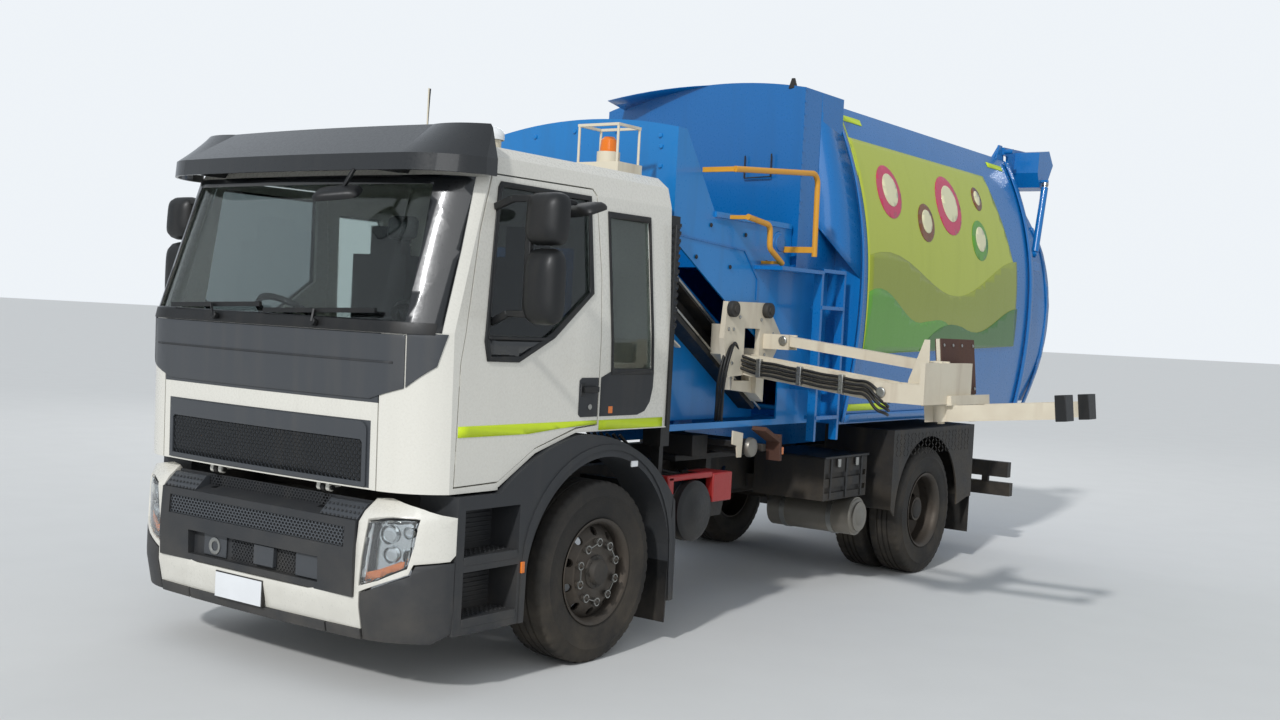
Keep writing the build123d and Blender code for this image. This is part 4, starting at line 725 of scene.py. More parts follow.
for i, (x0, x1) in enumerate(((-0.79, -0.53), (-0.52, 0.558), (0.568, 0.798))):
    skin(f"bumper_lip_{i}", [oblong(x0, 0.296, x1, 0.349)], bumper_form(-0.01), 0.04, "charcoal", "chassis",
        0.05, bevel=0.003)

PLATE_X = -0.071
make("plate_blank", "plate_white", "chassis", (block, PLATE_X - 0.186, PLATE_X + 0.186, -1.496, -1.491,
    0.35, 0.48), bevel=0.0015)
make("plate_holder", "black", "chassis", (block, PLATE_X - 0.192, PLATE_X + 0.192, -1.491, -1.47, 0.344,
    0.486), bevel=0.002)

LOW_GRILLE_Y = -1.446
BAND_Y = -1.474
DECK_Y = -1.372


def flat_face(y):
    def surface_of(out):
        def point(x, z):
            return at(x, y - out, z)
        return point
    return surface_of


honeycomb("bumper_band_mesh", -0.685, 0.69, 0.752, 0.836, flat_face(BAND_Y), 0.026, "mesh_grey", "chassis",
    0.006)
honeycomb("bumper_low_mesh_right", -0.185, -0.005, 0.556, 0.66, flat_face(LOW_GRILLE_Y), 0.024, "charcoal",
    "chassis", 0.005)
honeycomb("bumper_low_mesh_left", 0.185, 0.315, 0.552, 0.66, flat_face(LOW_GRILLE_Y), 0.024, "charcoal",
    "chassis", 0.005)
make("bumper_blocks", "hood_grey", "chassis", (block, 0.335, 0.515, -1.464, -1.442, 0.545, 0.664),
    (block, 0.012, 0.168, -1.47, -1.442, 0.556, 0.662), (block, -0.425, -0.235, -1.45, -1.442, 0.545,
    0.664), *((slab, ((x0, -1.47, 0.884), (x0, -1.395, 0.958), (x0, -1.368, 0.958), (x0, -1.368, 0.88)),
    (x1 - x0, 0, 0)) for x0, x1 in ((-0.77, -0.5), (0.5, 0.77))), bevel=0.005)
stud_spots = [(x0 + i * 0.03, -1.468 + j * 0.024, 0.888 + j * 0.0237) for x0 in (-0.75, 0.52)
    for i in range(9) for j in range(3)]
dots("bumper_step_studs", stud_spots, 0.007, 0.005, (0, -0.7, 0.7), "charcoal", "chassis", 8)
honeycomb("bumper_deck_mesh", -0.49, 0.5, 0.915, 0.962, flat_face(DECK_Y), 0.024, "charcoal", "chassis",
    0.005)
make("tow_socket_collar", "steel", "chassis", (rings, [(0.0255, 0.0), (0.034, -0.004), (0.046, -0.002),
    (0.046, 0.01)], (-0.33, -1.453, 0.6), (0, 1, 0), 32), slot="grey_plastic")

# Hood and upper grille

HOOD = ((0.79, 1.48), (0.985, 1.543), (0.985, 1.8))
skin("hood_panel", [flipped(HOOD) + list(HOOD)], cab_front(0.003), 0.01, "hood_grey", "flap", 0.05,
    bevel=0.002)
# Dark strip across the hood: painted shade in its crease.
skin("hood_crease_painted_shade", [oblong(-0.93, 1.66, 0.93, 1.67)], cab_front(0.009), 0.004, "charcoal", "flap", 0.06)
for sx, side in SIDES:
    loop = [(0.992, 1.547), (1.107, 1.655), (1.137, 1.812), (0.992, 1.812)]
    skin(f"hood_corner_{side}", [[(sx * x, z) for x, z in loop]], cab_front(0.003), 0.01, "hood_grey",
        "cab", 0.03, bevel=0.002)
grille_half = [(0.78, 1.045)] + arc_points(0.735, 1.32, 0.045, 0, 90, 5)
mesh_half = [(0.755, 1.068), (0.755, 1.262), (0.74, 1.276)]
mesh_loop = flipped(mesh_half) + mesh_half
skin("grille_surround", [flipped(grille_half) + grille_half, mesh_loop], cab_front(0.004), 0.012,
    "hood_grey", "flap", 0.05, bevel=0.002)
honeycomb("grille_mesh", -0.745, 0.752, 1.078, 1.268, cab_front, 0.03, "mesh_grey", "flap", -0.004)
skin("grille_back", [mesh_loop], cab_front(0.0005), 0.001, "black", "flap", 0.05, slot="grey_plastic")
make("grille_bars", "black", "flap", *((block, -0.3, 0.36, -1.449, -1.44, z - 0.008, z + 0.008)
    for z in (1.12, 1.17, 1.22)), slot="grey_plastic", bevel=0.002)

# Screen border, scuttle and wipers

SCREEN_OUT = ((1.118, 1.817), (1.1, 2.23), (1.077, 2.598))
SCREEN_IN = ((0.972, 1.868), (0.947, 2.23), (0.914, 2.552))
skin("screen_border", [list(loop) + flipped(loop) for loop in (SCREEN_OUT, SCREEN_IN)], cab_front(0.003),
    0.004, "smoke", "cab", 0.04)
skin("scuttle", [oblong(-1.1, 1.806, 1.1, 1.862)], cab_front(0.008), 0.01, "black", "cab", 0.05,
    bevel=0.003)
bm = bmesh.new()
for pivot, tip, blade in ((-0.36, -0.8, -0.02), (0.42, 0.02, 0.8)):
    y = arc_y(pivot, *cab_row(1.84)) - 0.028
    disc_at(bm, (pivot, y + 0.01, 1.835), (0, -1, 0.2), 0.02, 0.03, 16, 0.004)
    mid_x = (tip + blade) / 2
    bar(bm, (pivot, y - 0.015, 1.838), (mid_x, arc_y(mid_x, *cab_row(1.9)) - 0.04, 1.9), 0.01, 0.018)
    steps = 10
    for i in range(steps):
        xa, xb = (tip + (blade - tip) * k / steps for k in (i, i + 1))
        za, zb = (1.882 + 0.03 * k / steps for k in (i, i + 1))
        bar(bm, (xa, arc_y(xa, *cab_row(za)) - 0.022, za), (xb, arc_y(xb, *cab_row(zb)) - 0.022, zb), 0.016,
            0.024)
finish(bm, "wiper_set", "black", "cab", replaced=("wipers",))

# Mirrors

SQUARE = 0.45
OVAL_STEPS = 40
OVAL_ROWS = ((1.0, 0.0), (1.03, 0.25), (0.98, 0.55), (0.85, 0.8), (0.6, 0.95), (0.3, 1.0), (0.01, 1.0))


def oval(name, centre, size, depth, normal, body, twist=0.0):
    """Mirror head: a domed shell of squared oval outline with a glass set in its back."""
    n = Vector(normal).normalized()
    side = n.cross(Vector((0, 0, 1))).normalized()
    up = side.cross(n)
    side, up = side * cos(twist) + up * sin(twist), up * cos(twist) - side * sin(twist)
    c = at(*centre)

    def ring(bm, middle_at, half_w, half_h):
        out = []
        for j in range(OVAL_STEPS):
            a = 2 * pi * j / OVAL_STEPS
            ca, sa = cos(a), sin(a)
            ex = abs(ca) ** SQUARE * (1 if ca >= 0 else -1)
            ez = abs(sa) ** SQUARE * (1 if sa >= 0 else -1)
            out.append(bm.verts.new(middle_at + side * (half_w * ex) + up * (half_h * ez)))
        return out

    shell = bmesh.new()
    grid = [ring(shell, c - n * (depth * h), size[0] / 2 * scale, size[1] / 2 * scale)
        for scale, h in OVAL_ROWS]
    for a, b in zip(grid, grid[1:]):
        for j in range(OVAL_STEPS):
            k = (j + 1) % OVAL_STEPS
            shell.faces.new((a[j], a[k], b[k], b[j]))
    shell.faces.new(grid[0])
    finish(shell, name, "black", body)
    glass = bmesh.new()
    glass.faces.new(ring(glass, c + n * 0.002, size[0] * 0.46, size[1] * 0.46))
    finish(glass, name + "_face", "mirror", body, smooth=False)


for sx, side in SIDES:
    body = f"door_{side}"
    x0 = 1.445 if sx > 0 else 1.43
    oval(f"mirror_main_{side}", (sx * x0, -0.905, 2.07), (0.215, 0.365), 0.105, (0, 1, 0), body)
    oval(f"mirror_wide_{side}", (sx * x0, -0.9, 2.4), (0.225, 0.255), 0.11, (0, 1, -0.05), body)
    make(f"mirror_arm_{side}", "black", body, *(form for z, tip_z in ((2.49, 2.5), (1.905, 1.93))
        for form in ((bar, (sx * 1.118, -0.955, z - 0.03), (sx * 1.24, -0.96, tip_z), 0.03, 0.036),
        (bar, (sx * 1.232, -0.96, tip_z), (sx * 1.36, -0.955, tip_z), 0.03, 0.034))),
        (bar, (sx * 1.352, -0.955, 1.915), (sx * 1.352, -0.955, 2.515), 0.03, 0.036, (1, 0, 0)),
        replaced=(f"mirrors_{side}",), bevel=0.006)

oval("kerb_mirror", (1.44, -0.64, 2.455), (0.3, 0.14), 0.05, (0.15, 0.35, -1.0), "door_left")
make("kerb_mirror_arm", "black", "door_left", (bar, (1.36, -0.94, 2.52), (1.43, -0.7, 2.5), 0.022, 0.022),
    bevel=0.004)
oval("front_mirror", (0.5, -1.44, 2.47), (0.24, 0.13), 0.045, (-0.1, 0.45, -1.0), "cab", 0.3)
make("front_mirror_arm", "black", "cab", (bar, (0.56, -1.395, 2.61), (0.52, -1.43, 2.505), 0.018, 0.018,
    (0, 1, 0)), bevel=0.003)
oval("inner_mirror", (0.61, -1.08, 2.34), (0.2, 0.12), 0.04, (0, 1, -0.1), "cab")

# Cab sides

WINDOW = ((-0.908, 2.576), (-0.194, 2.576), (-0.166, 2.064), (-0.488, 1.83), (-0.754, 1.7), (-0.985, 1.7),
    (-1.01, 1.8), (-0.925, 2.548))
REAR_WINDOW = ((-0.012, 2.5), (0.373, 2.5), (0.429, 1.64), (0.045, 1.64))
STRIPE_Z = (1.309, 1.364)
STEP_Z = (0.7, 0.392)
ARCH_FACE = 1.186


def grown(points, d):
    """Outline moved out from its middle by about d."""
    cx = (min(p[0] for p in points) + max(p[0] for p in points)) / 2
    cz = (min(p[1] for p in points) + max(p[1] for p in points)) / 2
    out = []
    for x, z in points:
        r = hypot(x - cx, z - cz)
        out.append((cx + (x - cx) * (1 + d / r), cz + (z - cz) * (1 + d / r)))
    return out


for sx, side in SIDES:
    door = f"door_{side}"
    skin(f"door_seal_{side}", [grown(WINDOW, 0.02), grown(WINDOW, -0.014)], cab_side(sx, 0.003), 0.01,
        "black", door, 0.06)
    skin(f"door_low_panel_{side}", [[(-1.008, 1.8), (-0.53, 1.8), (-0.754, 1.704), (-0.985, 1.704)]],
        cab_side(sx, 0.002), 0.004, "smoke", door, 0.06)
    skin(f"window_bar_{side}", [[(-1.0, 1.796), (-0.53, 1.796), (-0.51, 1.812), (-1.0, 1.812)]],
        cab_side(sx, 0.004), 0.01, "black", door, 0.06)
    skin(f"rear_window_seal_{side}", [grown(REAR_WINDOW, 0.026), grown(REAR_WINDOW, -0.012)],
        cab_side(sx, 0.003), 0.01, "black", "cab", 0.06)
    z0, z1 = STRIPE_Z
    skin(f"stripe_door_{side}", [[(-1.185, z0), (-0.66, z0), (-0.4, z0 + 0.02), (-0.076, z0 + 0.034),
        (-0.076, z1), (-1.185, z1)]], cab_side(sx, 0.0015), 0.002, "chartreuse", door, 0.08)
    skin(f"stripe_cab_{side}", [oblong(-0.056, z0, 0.559, z1)], cab_side(sx, 0.0015), 0.002, "chartreuse",
        "cab", 0.08)
    skin(f"handle_panel_{side}", [[(-0.245, 1.4), (-0.225, 1.385), (-0.078, 1.385), (-0.078, 1.6),
        (-0.225, 1.6), (-0.245, 1.585)]], cab_side(sx, 0.002), 0.006, "charcoal", door, 0.06,
        slot="dark_plastic", bevel=0.002)
    skin(f"handle_panel_rear_{side}", [[(-0.054, 1.385), (0.3, 1.385), (0.37, 1.405), (0.42, 1.46),
        (0.443, 1.54), (0.446, 1.632), (0.03, 1.632), (-0.054, 1.6)]], cab_side(sx, 0.002), 0.006,
        "charcoal", "cab", 0.06, slot="dark_plastic", bevel=0.002)
    make(f"door_handle_{side}", "black", door, (block, sx * 1.156, sx * 1.178, -0.225, -0.095, 1.52, 1.552),
        (block, sx * 1.15, sx * 1.16, -0.235, -0.2, 1.5, 1.57), bevel=0.006)
    make(f"door_lock_{side}", "steel", door, (disc_at, (sx * 1.154, -0.15, 1.44), (sx, 0, 0), 0.016, 0.006,
        24, 0.002), slot="dark_plastic")
    make(f"cab_marker_{side}", "amber", "cab", (block, sx * 1.15, sx * 1.156, 0.02, 0.06, 1.4, 1.44),
        bevel=0.002)
    make(f"cab_rear_edge_{side}", "black", "cab", (block, sx * 1.15, sx * 1.164, 0.588, 0.602, 1.31, 2.5),
        bevel=0.003)

    # Entry steps and wheel arch
    make(f"step_treads_{side}", "charcoal", "chassis", *(form for z in STEP_Z
        for form in ((block, sx * 1.0, sx * 1.176, -1.12, -0.73, z, z + 0.016),
        (block, sx * 1.16, sx * 1.182, -1.126, -0.724, z - 0.028, z + 0.018))), slot="dark_plastic",
        bevel=0.004)
    spots = [(sx * (1.025 + j * 0.034), -1.095 + i * 0.035, z + 0.016) for z in STEP_Z
        for i in range(11) for j in range(4)]
    dots(f"step_studs_{side}", spots, 0.008, 0.005, (0, 0, 1), "charcoal", "chassis", 8,
        slot="dark_plastic")
    bm = bmesh.new()
    for k in range(9):
        z = 0.43 + k * 0.024
        block(bm, sx * 0.985, sx * 0.992, -1.12, -0.73, z, z + 0.01)
        block(bm, sx * 0.985, sx * 0.992, -1.12, -0.73, z + 0.31, z + 0.32)
    finish(bm, f"step_ribs_{side}", "charcoal", "chassis", slot="dark_plastic")
    lip = [(-0.662, 0.33), (-0.655, 0.6)] + [(1.16 * 0.565 * cos(radians(a)),
        0.56 + 0.64 * sin(radians(a))) for a in range(174, 4, -8)] + [(0.65, 0.6), (0.668, 0.262)]
    outer = [(y * 1.055 - 0.002, z + (0.03 if z > 0.7 else 0.0)) for y, z in lip]
    bm = bmesh.new()
    inner_v = [bm.verts.new(at(sx * ARCH_FACE, y, z)) for y, z in lip]
    outer_v = [bm.verts.new(at(sx * ARCH_FACE, y, z)) for y, z in outer]
    back_v = [bm.verts.new(at(sx * 1.15, y, z)) for y, z in outer]
    for a in range(len(lip) - 1):
        b = a + 1
        bm.faces.new((inner_v[a], inner_v[b], outer_v[b], outer_v[a]))
        bm.faces.new((outer_v[a], outer_v[b], back_v[b], back_v[a]))
    finish(bm, f"arch_lip_{side}", "charcoal", "chassis", slot="dark_plastic")
    make(f"side_marker_{side}", "amber", "chassis", (block, sx * 1.178, sx * 1.19, -0.7, -0.672, 0.59,
        0.65), bevel=0.004)
    make(f"arch_lamp_{side}", "lamp_white", "chassis", (block, sx * 1.178, sx * 1.192, 0.225, 0.285, 1.09,
        1.125), bevel=0.005)
    make(f"front_mudflap_{side}", "black", "chassis", (slab, ((sx * 0.9, 0.672, 0.9),
        (sx * 1.18, 0.672, 0.9), (sx * 1.18, 0.64, 0.135), (sx * 0.9, 0.64, 0.135)), (0, 0.01, 0)),
        bevel=0.002)

# Roof

make("roof_dome", "lamp_white", "cab", (rings, [(0.075, 0.0), (0.077, 0.02), (0.074, 0.036), (0.062, 0.054),
    (0.04, 0.066), (0.015, 0.071), (0.001, 0.072)], (0.88, -0.76, 2.828), (0, 0, 1), 48), slot="arm_paint")
make("beacon_dome", "amber", "cab", (rings, [(0.052, 0.0), (0.054, 0.01), (0.048, 0.07), (0.03, 0.09),
    (0.001, 0.094)], (0.735, 0.45, 2.921), (0, 0, 1), 40))
tube("whip_aerial", [(0.3, -0.64, 2.8), (0.3, -0.638, 3.0), (0.302, -0.63, 3.146)], 0.004, "cab",
    look="black")
make("visor_lamps", "smoke", "cab", *((block, x - 0.045, x + 0.045, -0.992, -0.93, 2.782, 2.812)
    for x in (-0.95, -0.48, 0.0, 0.48, 0.95)), bevel=0.008)

# Body: fairing, bands, panel print and marks

COWL_TOP = 3.69
COWL_BOW = 0.096
bm = bmesh.new()
cowl, shell = [], []
count = 14
for i in range(count + 1):
    t = i / count
    cowl.append((1.052, 2.47, 2.66 + (3.584 - 2.66) * t))
    z = 2.3 + (3.561 - 2.3) * t
    shell.append((body_x(z) + 0.002, 2.788, z))
for i in range(1, count + 1):
    t = i / count
    xc, xs = 1.052 - 1.9 * t, 0.934 - 1.8 * t
    cowl.append((xc, 2.47, COWL_TOP - COWL_BOW * xc * xc))
    shell.append((xs, 2.788, 3.647 - 0.0965 * xs * xs))
a = [bm.verts.new(at(*p)) for p in cowl]
b = [bm.verts.new(at(*p)) for p in shell]
for i in range(len(a) - 1):
    bm.faces.new((a[i], a[i + 1], b[i + 1], b[i]))
fairing = finish(bm, "body_fairing", "shaded_body_blue", "body")
mod = fairing.modifiers.new("thickness", "SOLIDIFY")
mod.thickness = 0.004

PRINT_EDGE = [(2.93, 1.76), (5.87, 1.86), (5.8, 2.5), (5.42, 3.33), (2.87, 3.33)]
PRINT_RISE = 0.034
# Look, from y, to y, height, swell, and 1 where the front end falls to the foot or -1 the rear
HILLS = (("print_green", 2.935, 5.835, 0.58, 0.16, 0), ("print_leaf", 2.935, 4.6, 0.34, 0.13, -1),
    ("print_deep", 3.9, 5.86, 0.22, 0.1, 1))
ROUNDS = ((3.35, 2.98, 0.2, "print_pink"), (3.95, 2.8, 0.15, "print_rust"),
    (4.45, 2.98, 0.24, "print_pink"), (5.02, 2.74, 0.17, "print_leaf"), (5.1, 3.1, 0.1, "print_rust"))
MARKS = ((2.845, 3.455, 3.2, 3.5), (2.845, 3.05, 2.89, 3.45), (5.64, 3.44, 6.0, 3.485),
    (2.845, 1.345, 3.5, 1.395))


def hill(y0, y1, base, top, bump, fade, n=18):
    """Outline of one printed hill: a straight foot and a waved ridge."""
    low = [(y0, base), (y1, base + PRINT_RISE * (y1 - y0))]
    rim = []
    for i in range(n + 1):
        t = 1 - i / n
        y = y0 + (y1 - y0) * t
        fall = min(1.0, 2.5 * (t if fade > 0 else 1 - t)) ** 0.7 if fade else 1.0
        rim.append((y,
            base + PRINT_RISE * (y - y0) + 0.012 + fall * (top + bump * sin(pi * (t * 2.2 + 0.3)))))
    return low + rim


for sx, side in SIDES:
    for name, y0, y1, out in (("front", 2.795, 2.83, 0.014), ("rear", 6.12, 6.196, 0.018)):
        z_top = 3.54
        skin(f"body_band_{name}_{side}", [oblong(y0, 1.265, y1, z_top)], body_side(sx, out), 0.012,
            "shaded_body_blue", "body", 0.06)
    skin(f"body_sill_{side}", [oblong(2.83, 1.262, 6.12, 1.322)], body_side(sx, 0.012), 0.016, "shaded_body_blue",
        "body", 0.08)
    skin(f"print_base_{side}", [PRINT_EDGE], body_side(sx, 0.003), 0.002, "print_lime", "body", 0.07)
    for i, (look, y0, y1, top, bump, fade) in enumerate(HILLS):
        base = 1.762 + PRINT_RISE * (y0 - 2.93)
        skin(f"print_hill_{i}_{side}", [hill(y0, y1, base, top, bump, fade)],
            body_side(sx, 0.005 + 0.0015 * i), 0.0015, look, "body", 0.07)
    for i, (y, z, r, look) in enumerate(ROUNDS):
        skin(f"print_round_{i}_{side}", [arc_points(y, z, r, 0, 345, 23)], body_side(sx, 0.0055), 0.0015,
            look, "body", 0.07)
        skin(f"print_round_in_{i}_{side}", [arc_points(y + r * 0.1, z + r * 0.08, r * 0.62, 0, 345, 23)],
            body_side(sx, 0.0075), 0.0015, "print_cream", "body", 0.07)
    for i, mark in enumerate(MARKS):
        skin(f"body_mark_{i}_{side}", [oblong(*mark)], body_side(sx, 0.003), 0.002, "chartreuse", "body",
            0.07, slot="body_paint")
    make(f"gate_hinge_web_{side}", "shaded_body_blue", "body", (slab, ((sx * 0.936, 5.985, 3.56),
        (sx * 0.936, 6.135, 3.56), (sx * 0.936, 6.12, 3.69), (sx * 0.936, 6.05, 3.69)), (sx * -0.02, 0, 0)),
        bevel=0.003)

# Rivets of the fairing and ribs of the roof
seam_spots = [(1.052, 2.23, 2.72 + i * 0.085) for i in range(11)]
dots("cowl_rivets", seam_spots, 0.009, 0.005, (1, 0, 0), "shaded_body_blue", "body")
make("roof_ribs", "shaded_body_blue", "body", *((slab, ((sx * 0.5, y - 0.02, 3.6175), (sx * 0.5, y + 0.02, 3.6175),
    (sx * 0.5, y + 0.02, 3.628), (sx * 0.5, y - 0.02, 3.628)), (sx * -0.5, 0, 0.018)) for sx in (1, -1)
    for y in (3.4, 4.1, 4.8, 5.5)), bevel=0.002)

# Tail lamps and blank plate
for sx, side in SIDES:
    make(f"tail_lamps_{side}", "lamp_red", "chassis", *((disc_at, (sx * x, 6.33, 0.71), (0, 1, 0), 0.038,
        0.014, 32, 0.004) for x in (0.745, 0.845, 0.945, 1.045)))
make("rear_plate_blank", "plate_white", "chassis", (block, -0.186, 0.186, 6.322, 6.326, 0.47, 0.585),
    bevel=0.001)

# Arm: pads, rollers, hoses

HEAD_AT = (2.27, 2.24, 1.5)
HEAD_TILT = radians(6.0)


def head_point(x, y, z):
    """Truck point from the gripper's own tilted frame."""
    return (HEAD_AT[0] + x * cos(HEAD_TILT) - z * sin(HEAD_TILT), HEAD_AT[1] + y,
        HEAD_AT[2] + x * sin(HEAD_TILT) + z * cos(HEAD_TILT))


def head_box(bm, x0, x1, y0, y1, z0, z1):
    """Box along the gripper's own axes."""
    box_of(bm, (x0, x1), (y0, y1), (z0, z1), lambda x, y, z: at(*head_point(x, y, z)))


for name, x0 in (("front", 0.013), ("back", -0.022)):
    make(f"head_pad_{name}", "pad_rust", "head", (head_box, x0, x0 + 0.009, -0.245, 0.285, 0.055, 0.412),
        bevel=0.004)
make("head_rotor", "cast", "head", (head_box, -0.07, 0.06, -0.15, 0.15, -0.085, -0.012), slot="arm_paint",
    bevel=0.008)
head_spots = [head_point(0.022, y, z) for y in (-0.21, -0.07, 0.07, 0.25) for z in (0.09, 0.37)]
dots("head_bolts", head_spots, 0.011, 0.008, (1, 0, 0.1), "steel", "head")
for sy, side in ((-1, "front"), (1, "rear")):
    make(f"finger_pad_{side}", "black", f"finger_{side}", (head_box, 0.736, 0.804, sy * 0.142, sy * 0.278,
        -0.124, 0.034), (head_box, 0.3, 0.66, sy * 0.226, sy * 0.219, -0.1, -0.02), slot="arm_paint",
        bevel=0.004)
    make(f"finger_pin_cap_{side}", "steel", f"finger_{side}", (rings,
        [(0.001, 0.004), (0.03, 0.004), (0.034, 0.0), (0.034, -0.004)], head_point(0, sy * 0.25, -0.007),
        (-sin(HEAD_TILT), 0, cos(HEAD_TILT)), 24))

make("carriage_rollers", "cast", "carriage", *((rings, [(0.001, 0.01), (0.024, 0.01), (0.026, 0.002),
    (0.05, 0.0), (0.052, -0.006), (0.052, -0.036), (0.05, -0.04)], (1.088, y, z), (1, 0, 0), 32)
    for y, z in ((1.42, 2.03), (1.86, 2.035))), slot="arm_paint")
dots("carriage_bolts", [(1.048, y, z) for y, z in ((1.4, 1.9), (1.46, 1.9), (1.4, 1.7), (1.46, 1.68),
    (1.9, 1.86), (1.96, 1.88), (1.86, 1.74), (1.8, 1.97), (1.53, 1.98))], 0.012, 0.01, (1, 0, 0), "steel",
    "carriage")
PINS = ((1.2, 1.905, 1.84, 0.066, "carriage"), (2.27, 1.905, 1.73, 0.066, "head"),
    (0.99, 1.7, 1.676, 0.128, "carriage"), (2.06, 1.7, 1.566, 0.128, "head"))
for i, (x, y, z, half, body) in enumerate(PINS):
    make(f"link_pin_caps_{i}", "steel", body, *((rings, [(0.001, 0.01), (0.024, 0.01), (0.03, 0.006),
        (0.032, 0.0)], (x, y + s * half, z), (0, s, 0), 24) for s in (-1, 1)))

# The x and z of the lower link's inner pin, and its fall per metre
LINK_FOOT = (0.99, 1.676)
LINK_DROP = -0.11 / 1.07
for i in range(4):
    z0 = LINK_FOOT[1] + 0.04 - i * 0.026
    y = 1.598 - (i % 2) * 0.012
    route = [(0.985, y - 0.02, z0 + 0.03), (1.06, y, z0 + 0.006)]
    for k in range(1, 8):
        x = 1.06 + k * 0.115
        route.append((x, y, z0 + (x - LINK_FOOT[0]) * LINK_DROP + 0.004 * (-1) ** k))
    route += [(1.96, y - 0.01, z0 - 0.09), (2.04, y - 0.03, z0 - 0.14 - 0.015 * i),
        (2.09, y + 0.01, z0 - 0.2), (2.06, y + 0.1, z0 - 0.215)]
    tube(f"link_hose_{i}", route, 0.0095, "lower_link")
clips = [(x, LINK_FOOT[1] + (x - LINK_FOOT[0]) * LINK_DROP) for x in (1.18, 1.48, 1.78)]
make("hose_clips", "steel", "lower_link", *((block, x - 0.016, x + 0.016, 1.572, 1.611, z - 0.06, z + 0.06)
    for x, z in clips), bevel=0.003)
for i in range(3):
    x = 0.985 + i * 0.022
    tube(f"carriage_hose_{i}", [(x, 1.575, 1.74), (x + 0.03, 1.48, 1.8 + 0.02 * i), (x + 0.05, 1.4, 1.76),
        (x + 0.05, 1.35, 1.64), (x + 0.02, 1.37, 1.52 - 0.02 * i), (x - 0.02, 1.44, 1.43),
        (x - 0.05, 1.48, 1.3)], 0.0095, "carriage")

# Frame side: tank, battery box, canisters, red casting, guards and flaps

FILTER_AT = (1.01, 0.765)
AIR_TANK_AT = (3.215, 0.545)
make("red_casting", "rust_red", "chassis", (block, 0.9, 1.105, 1.23, 1.455, 0.8, 0.985),
    (block, 1.06, 1.1, 0.73, 1.23, 0.958, 0.996), (block, 0.98, 1.1, 0.74, 0.8, 0.7, 0.99), bevel=0.01,
    segments=3)
make("filter_cover", "black", "chassis", (rings, [(0.001, 0.03), (0.06, 0.03), (0.075, 0.022),
    (0.15, 0.016), (0.176, 0.01), (0.188, 0.0), (0.189, -0.02)], (1.115, *FILTER_AT), (1, 0, 0), 56),
    slot="box_paint")
make("filter_ribs", "black", "chassis", *((rings, [(0.187, 0), (0.191, 0.004), (0.191, 0.014),
    (0.187, 0.018)], (0.72 + k * 0.11, *FILTER_AT), (1, 0, 0), 48) for k in range(4)), slot="box_paint")
make("air_tank_end", "tank_steel", "chassis", (rings, [(0.001, 0.04), (0.05, 0.036), (0.09, 0.024),
    (0.128, 0.008), (0.143, -0.018)], (1.12, *AIR_TANK_AT), (1, 0, 0), 56))
make("air_tank_straps", "steel", "chassis", *((rings, oblong(0.143, -0.02, 0.148, 0.02), (x, *AIR_TANK_AT),
    (1, 0, 0), 56, None, True) for x in (0.56, 0.96)), slot="tank_steel")
make("battery_cover", "black", "chassis", *((block, 1.105, 1.113, y - 0.012, y + 0.012, 0.7, 0.995)
    for y in (2.8, 3.04, 3.28)), (block, 0.51, 1.118, 2.69, 3.385, 0.994, 1.012), slot="box_paint",
    bevel=0.004)
make("battery_latches", "steel", "chassis", *((block, 1.113, 1.126, y - 0.02, y + 0.02, 0.93, 0.99)
    for y in (2.9, 3.18)), slot="box_paint", bevel=0.003)
make("small_filter", "tank_steel", "chassis", (rings, [(0.001, 0.012), (0.04, 0.01), (0.06, 0.004),
    (0.066, -0.01), (0.066, -0.03)], (1.06, 1.76, 1.12), (1, 0, 0), 40), slot="box_paint")

for sx, side in SIDES:
    bm = bmesh.new()
    for i in range(22):
        for j in range(6):
            y, z = 3.69 + i * 0.066, 1.03 + (j - 3) * 0.03 + 0.045
            turn = 1 if (i + j) % 2 else -1
            if z < 1.165:
                bar(bm, (sx * 1.2, y - 0.012, z - 0.01 * turn), (sx * 1.2, y + 0.012, z + 0.01 * turn),
                    0.006, 0.005, (1, 0, 0))
    finish(bm, f"guard_tread_{side}", "frame_black", "chassis", slot="frame_paint")
    make(f"rear_mudflap_{side}", "black", "chassis", (slab, ((sx * 0.64, 5.205, 1.15),
        (sx * 1.19, 5.205, 1.15), (sx * 1.19, 5.19, 0.25), (sx * 0.64, 5.19, 0.25)), (0, 0.01, 0)),
        bevel=0.002)

for i, (y, z) in enumerate(((0.8, 0.9), (0.9, 0.86), (1.55, 0.9), (1.9, 0.88))):
    tube(f"frame_hose_{i}", [(0.52, y - 0.25, z), (0.56, y - 0.1, z - 0.02), (0.62, y + 0.05, z - 0.06),
        (0.6, y + 0.22, z - 0.03), (0.52, y + 0.38, z + 0.02)], 0.016, "chassis")
fold = [(0.001, 0.0), (0.078, 0.0), (0.084, 0.008), (0.084, 0.016), (0.078, 0.024), (0.001, 0.024)]
make("snorkel_bellows", "black", "chassis", *((rings, fold, (1.025, 0.686, 1.885 + i * 0.046),
    (0, 0, 1), 28) for i in range(14)))

# Hopper and bulkhead details

HOPPER_FACE = 1.004
TRACK_X = 0.924


def bulk_y(x):
    """y of the bulkhead's slanting front."""
    return 2.2 + (1.05 - x) * 0.27


def wall_y(x):
    """y of the hopper's slanting front."""
    return 0.79 + (1.0 - x) * 0.19


